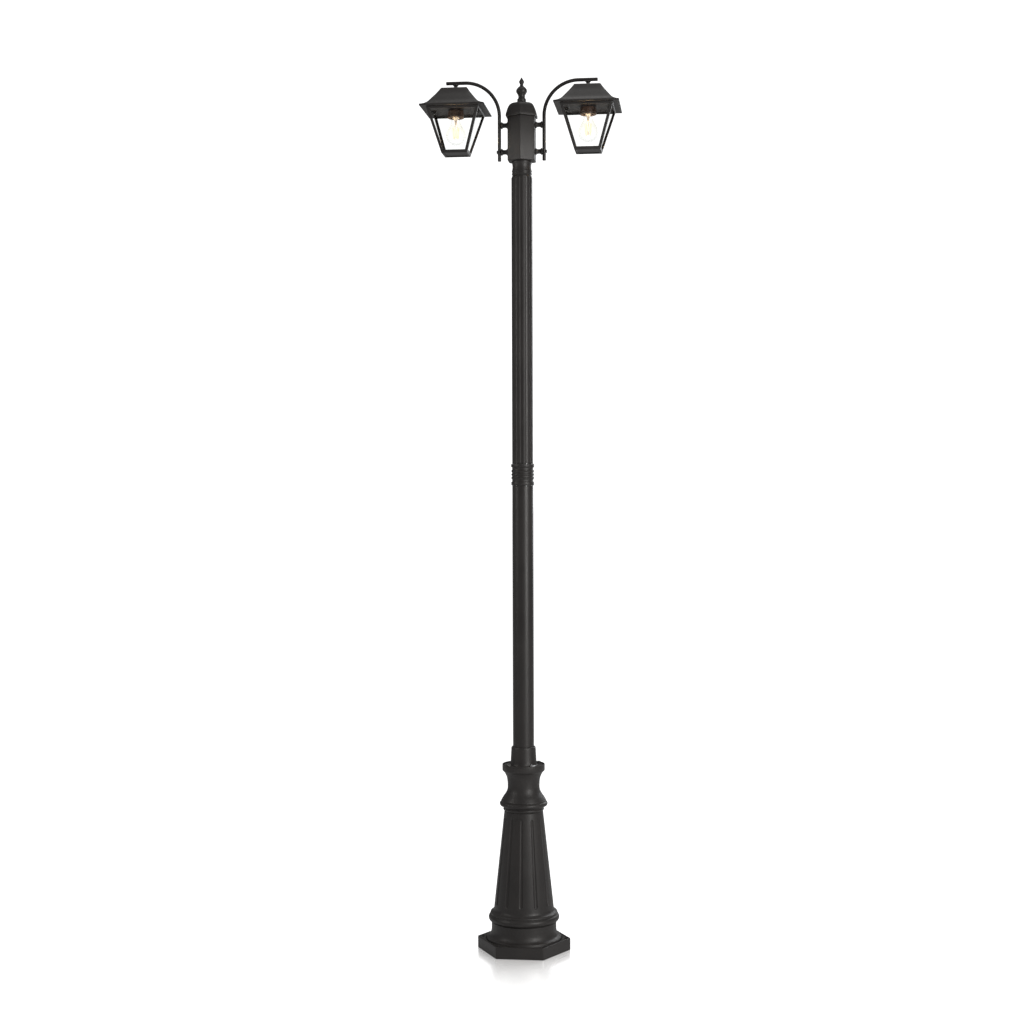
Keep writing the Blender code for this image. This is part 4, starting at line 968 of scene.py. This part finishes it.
def holder_ring_mesh():
    """The brown ring that closes the holder's mouth."""
    profile = [(0.0142, 2.3809), (0.0228, 2.3809), (0.0235, 2.38), (0.0235, 2.3772),
               (0.023, 2.3763)]
    profile += [(0.0222, 2.376), (0.0152, 2.376), (0.0144, 2.3766), (0.0142, 2.3775)]
    return lathe(eased(profile, 0.0003, closed=True), 96, closed=True)


LANTERN_X = 0.1895
CAGE_TOP, CAGE_BOTTOM = 2.397, 2.272
CAGE_TOP_HALF, CAGE_BOTTOM_HALF = 0.0748, 0.0368
THUMB_X = 0.061
CAGE_LEAN = math.atan((CAGE_TOP_HALF - CAGE_BOTTOM_HALF) / (CAGE_TOP - CAGE_BOTTOM))


def cage_half(z):
    share = (z - CAGE_BOTTOM) / (CAGE_TOP - CAGE_BOTTOM)
    return CAGE_BOTTOM_HALF + (CAGE_TOP_HALF - CAGE_BOTTOM_HALF) * share


def window_tool():
    """A tapered bar along Y that cuts the windows of two opposite walls."""
    low, high = 2.2805, 2.392
    bottom, top = cage_half(low) - 0.0082, cage_half(high) - 0.0082
    outline = [(-bottom, low), (bottom, low), (top, high), (-top, high)]
    loops = [[(x, y, z) for x, z in outline] for y in (-0.15, 0.15)]
    return skin(loops)


def cage_mesh():
    """Four corner angles with top and bottom rails and an inner lip, in one casting."""
    wall, lip = 0.0026, 2.2738
    rows = [(CAGE_TOP_HALF, CAGE_TOP), (CAGE_BOTTOM_HALF, CAGE_BOTTOM), (0.03, CAGE_BOTTOM),
            (0.03, lip)]
    rows += [(cage_half(lip) - wall, lip), (CAGE_TOP_HALF - wall, CAGE_TOP)]
    loops = [[(h * x, h * y, z) for x, y in ((1, 1), (-1, 1), (-1, -1), (1, -1))] for h, z in rows]
    quarter = Matrix.Rotation(math.radians(90), 4, "Z")
    shell = cut(skin(loops, closed=True), [window_tool(), moved(window_tool(), quarter)])
    work = bmesh.new()
    work.from_mesh(shell)
    bmesh.ops.dissolve_limit(work, angle_limit=0.01, verts=work.verts, edges=work.edges)
    work.to_mesh(shell)
    work.free()
    return shell


def lug_mesh(sign):
    """A drilled ear on the cage's top rail."""
    near, far = THUMB_X - 0.0055, cage_half(CAGE_TOP - 0.003) - 0.0015
    ends = sorted((sign * near, sign * far))
    ear = rounded_block((ends[0], -0.006, CAGE_TOP - 0.003), (ends[1], 0.006, CAGE_TOP), 0.0015)
    hole = [(0, CAGE_TOP + 0.001), (0.0023, CAGE_TOP + 0.001), (0.0023, CAGE_TOP - 0.005),
            (0, CAGE_TOP - 0.005)]
    return cut(ear, [moved(lathe(hole, 24), Matrix.Translation((sign * THUMB_X, 0, 0)))])


def pane_mesh():
    """A drawn-glass pane: a tapered sheet, very slightly wavy, with ground edges."""
    low, high, edge, thick = 2.2766, 2.3932, 0.006, 0.0025
    middle = (low + high) / 2
    reach = (high - low) / 2 / math.cos(CAGE_LEAN)
    columns, rows = 14, 22

    def face(depth, inset):
        grid = []
        for j in range(rows + 1):
            v = j / rows
            half = (cage_half(low + (high - low) * v) - edge) - inset
            y = (2 * v - 1) * (reach - inset)
            line = []
            for i in range(columns + 1):
                x = (2 * i / columns - 1) * half
                wave = noise.noise(Vector((x * 45, y * 14, depth * 900))) * 0.00012
                rim = i in (0, columns) or j in (0, rows)
                line.append((x, y, depth + (0 if rim else wave)))
            grid.append(line)
        return grid

    work = bmesh.new()
    sheets = []
    for depth, inset in ((-thick / 2, 0.0004), (-thick / 2 + 0.0004, 0.0),
                         (thick / 2 - 0.0004, 0.0),
                         (thick / 2, 0.0004)):
        grid = face(depth, inset)
        ring = (grid[0] + [line[-1] for line in grid[1:-1]] + grid[-1][::-1]
                + [g[0] for g in grid[-2:0:-1]])
        if abs(depth) > thick / 2 - 0.0001:
            verts = [[work.verts.new(p) for p in line] for line in grid]
            for j in range(rows):
                for i in range(columns):
                    work.faces.new((verts[j][i], verts[j][i + 1], verts[j + 1][i + 1],
                                    verts[j + 1][i]))
            sheets.append(verts[0] + [line[-1] for line in verts[1:-1]] + verts[-1][::-1]
                          + [v[0] for v in verts[-2:0:-1]])
        else:
            sheets.append([work.verts.new(p) for p in ring])
    for low_ring, high_ring in zip(sheets, sheets[1:]):
        for i in range(len(low_ring)):
            k = (i + 1) % len(low_ring)
            work.faces.new((low_ring[i], low_ring[k], high_ring[k], high_ring[i]))
    bmesh.ops.recalc_face_normals(work, faces=work.faces)
    mesh = bpy.data.meshes.new("pane")
    work.to_mesh(mesh)
    work.free()
    inset = 0.0026 + (0.0003 + thick / 2) / math.cos(CAGE_LEAN)
    stand = Matrix.Translation((0, -cage_half(middle) + inset, middle))
    return moved(mesh, stand @ Matrix.Rotation(math.radians(90) + CAGE_LEAN, 4, "X"))


def floor_plate_mesh():
    """A pressed plate with a shallow dish."""
    low, high, half = 2.2741, 2.2756, 0.0342 - 0.0003
    rows = [(half - 0.0003, low, 0.002), (half, low + 0.0004, 0.002), (half, high - 0.0004, 0.002)]
    rows += [(half - 0.0003, high, 0.002), (0.027, high, 0.004), (0.0262, high - 0.0005, 0.004)]
    rows.append((0.012, high - 0.0005))
    return skin([[(0.0, 0.0, low)], *rings(SQUARE, rows), [(0.0, 0.0, high - 0.0005)]])


def thumb_screw_mesh():
    """A knurled thumb screw with a turned tip."""
    seat = CAGE_TOP - 0.0033
    profile = [(0, 2.4028), (0.0014, 2.4028), (0.002, 2.402), (0.002, seat), (0.0042, seat)]
    profile += [(0.0047, seat - 0.0005), (0.0047, seat - 0.0044), (0.0042, seat - 0.005),
                (0.003, seat - 0.005)]
    profile += [(0.0026, seat - 0.0046), (0, seat - 0.0046)]

    def knurl(angle, radius, _z):
        if radius > 0.0045:
            return radius - 0.0003 * abs(math.sin(12 * angle))
        return radius

    return lathe(profile, 96, ridge=knurl)


def bulb_mesh():
    """Thin blown glass, open at the neck."""
    ball_z, ball_r = 2.3275, 0.029

    def side(inset):
        ball = arc(0, ball_z, ball_r - inset, -90, 40, 22)
        neck = smooth([ball[-1], (0.0158 - inset, 2.3592), (0.0131 - inset, 2.368),
                       (0.0124 - inset, 2.374), (0.0118 - inset, 2.386)], 5)
        return [(0.0, ball_z - ball_r + inset), *ball[1:-1], *neck]

    outside, inside = side(0.0), side(0.0008)
    return lathe([*outside, *reversed(inside)], 64)


def bulb_cap_mesh():
    """The screw shell, with its thread, insulator and centre contact."""
    low, high, pitch = 2.379, 2.4, 0.0036
    count, rows = 72, 54
    loops = [circle(0.01255, 2.394, count), circle(0.01255, low, count), circle(0.0129, low, count)]
    for i in range(rows + 1):
        z = low + 0.001 + (high - 0.002 - low) * i / rows
        fade = min(1.0, (z - low) / 0.003, (high - z) / 0.003)
        loop = []
        for k in range(count):
            a = math.tau * k / count
            wave = math.cos(math.tau * z / pitch - a)
            r = 0.01255 + 0.00065 * (fade * wave)
            loop.append((r * math.cos(a), r * math.sin(a), z))
        loops.append(loop)
    loops += [circle(r, z, count) for r, z in ((0.011, 2.3996), (0.0092, 2.4008), (0.006, 2.4012))]
    loops += [circle(r, z, count) for r, z in ((0.005, 2.4022), (0.0046, 2.403), (0.002, 2.403))]
    return skin([[(0.0, 0.0, 2.3945)], *loops, [(0.0, 0.0, 2.4029)]])


def filament_meshes():
    """The glass foot inside the bulb, its support wires and the lit strands."""
    foot = [(0, 2.356), (0.0016, 2.3562), (0.0026, 2.358), (0.0032, 2.364), (0.0042, 2.37)]
    foot += [(0.007, 2.3745), (0.0098, 2.3775), (0.0092, 2.3775), (0.006, 2.376), (0, 2.375)]
    supports = []
    for x in (-1, 1):
        route = smooth([(0.0012 * x, 0, 2.364), (0.0018 * x, 0, 2.356), (0.006 * x, 0, 2.352),
                        (0.0094 * x, 0, 2.35)], 5)
        supports.append(wire(route, 0.00035))
    supports.append(wire([(0, 0, 2.358), (0, 0.0002, 2.34), (0, 0, 2.315)], 0.0006))
    strands = []
    turns = 9
    for i in range(turns):
        a, b = math.tau * i / turns, math.tau * (i + 0.5) / turns
        c = math.tau * (i + 1) / turns
        top, foot_z = 2.35, 2.317
        points = [(0.0095 * math.cos(a), 0.0095 * math.sin(a), top),
                  (0.0088 * math.cos((a + b) / 2), 0.0088 * math.sin((a + b) / 2),
                   (top + foot_z) / 2),
                  (0.0064 * math.cos(b), 0.0064 * math.sin(b), foot_z)]
        if i < turns - 1:
            points += [(0.0088 * math.cos((b + c) / 2), 0.0088 * math.sin((b + c) / 2),
                        (top + foot_z) / 2),
                       (0.0095 * math.cos(c), 0.0095 * math.sin(c), top)]
        strands.append(wire(smooth(points, 5), 0.0003, 6))
    return lathe(foot, 32), joined(supports), joined(strands)


def build_lanterns():
    pane, cage = pane_mesh(), cage_mesh()
    lugs = {"inner": lug_mesh(-1), "outer": lug_mesh(1)}
    stem, roof, ceiling = stem_mesh(), roof_mesh(), ceiling_mesh()
    holder, ring, plate = holder_mesh(), holder_ring_mesh(), floor_plate_mesh()
    screw, bulb, bulb_cap = thumb_screw_mesh(), bulb_mesh(), bulb_cap_mesh()
    foot, supports, strands = filament_meshes()
    for side, sign in (("left", -1), ("right", 1)):
        axis = Matrix.Translation((LANTERN_X * sign, 0, 0))
        if sign < 0:
            axis = axis @ Matrix.Rotation(math.pi, 4, "Z")

        def add(body, name, mesh, material, node=None, place=axis, sharp=32):
            nodes = [f"{side}_{node}"] if node else ()
            return piece(f"{side}_{name}", mesh, material, f"{side}_{body}", nodes, place,
                         sharp)

        add("lantern", "stem", stem, COAT_CAST, "hanger_stem")
        add("lantern", "roof_shell", roof, COAT_SHEET, "roof")
        add("lantern", "ceiling", ceiling, COAT_SHEET, "ceiling_plate")
        add("lantern", "holder", holder, HOLDER, "lamp_holder", sharp=26)
        add("lantern", "holder_ring", ring, HOLDER_RING)
        add_bevel(add("cage", "cage_casting", cage, COAT_CAST, "cage_frame"), 0.0006,
                  3)
        for name, lug in lugs.items():
            add("cage", f"{name}_lug", lug, COAT_CAST)
        for i, name in enumerate(("front", "outer", "rear", "inner")):
            quarter = i if sign > 0 or i % 2 else (i + 2) % 4
            place = axis @ Matrix.Rotation(math.radians(90) * quarter, 4, "Z")
            add("cage", f"glass_{name}", pane, PANE, f"{name}_pane", place, 20)
        add("cage", "floor", plate, COAT_SHEET, "floor_plate")
        for name, x in (("inner", -THUMB_X), ("outer", THUMB_X)):
            place = axis @ Matrix.Translation((x, 0, 0))
            add("cage", f"{name}_knurled_screw", screw, BLACKENED,
                f"{name}_thumb_screw",
                place, 40)
        add("bulb", "bulb_envelope", bulb, BULB, "bulb_glass")
        add("bulb", "bulb_shell", bulb_cap, CAP_METAL, "bulb_cap")
        add("bulb", "bulb_foot", foot, FROSTED)
        add("bulb", "bulb_supports", supports, ZINC)
        add("bulb", "filament", strands, WIRE)
        add_bulb_light(side, LANTERN_X * sign)


def dress_hidden_nodes():
    """Procedural materials for the CAD nodes that stay as they are."""
    for name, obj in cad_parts.items():
        material = COAT_CAST
        if "lead" in name or "cable" in name:
            material = SHEATH
        elif name == "joint_spigot":
            material = ALUMINIUM
        elif "pane" in name:
            material = PANE
        elif "bulb_glass" in name:
            material = BULB
        elif "screw" in name or "bolt" in name or "nut" in name:
            material = ZINC
        obj.data.materials.clear()
        obj.data.materials.append(material)


def build_floor():
    """A wide round floor, with rings that close in on the post."""
    radii = [0.3, 1, 3, 8, 20, 60]
    mesh = skin([[(0.0, 0.0, -0.0005)], *[circle(r, -0.0005, 96) for r in radii]])
    work = bmesh.new()
    work.from_mesh(mesh)
    doomed = [f for f in work.faces if len(f.verts) > 4]
    bmesh.ops.delete(work, geom=doomed, context="FACES_ONLY")
    for face in work.faces:
        if face.normal.z < 0:
            face.normal_flip()
    work.to_mesh(mesh)
    work.free()
    floor = bpy.data.objects.new("studio_floor", mesh)
    mesh.materials.append(studio_floor())
    SCENE.collection.objects.link(floor)


SCENE.view_settings.view_transform = "Standard"
add_camera()
add_world()
add_area_light("key", (2.7, -2.6, 1.9), (0, 0, 1.2), 0.7, 2.6, 100, (1.0, 0.985, 0.96))
add_area_light("left_strip", (-2.6, -1.2, 2.2), (0, 0, 1.8), 0.5, 2.0, 19, (1.0, 0.97, 0.93))
add_area_light("back_strip", (1.6, 2.8, 2.2), (0, 0, 1.4), 0.8, 2.4, 30, (0.96, 0.98, 1.0))
add_area_light("overhead", (0.2, 0.5, 4.4), (0, 0, 1.0), 1.5, 1.5, 9, (1.0, 0.99, 0.97))

for build in (dress_hidden_nodes, build_floor, build_plinth, build_cone, build_neck, build_socket,
              build_bolts, build_lower_tube, build_joint_collar, build_upper_tube, build_top_collar,
              build_head, build_cap, build_finial, build_nut, build_terminal_strip, build_arms,
              build_lanterns):
    build()

bpy.context.view_layer.update()
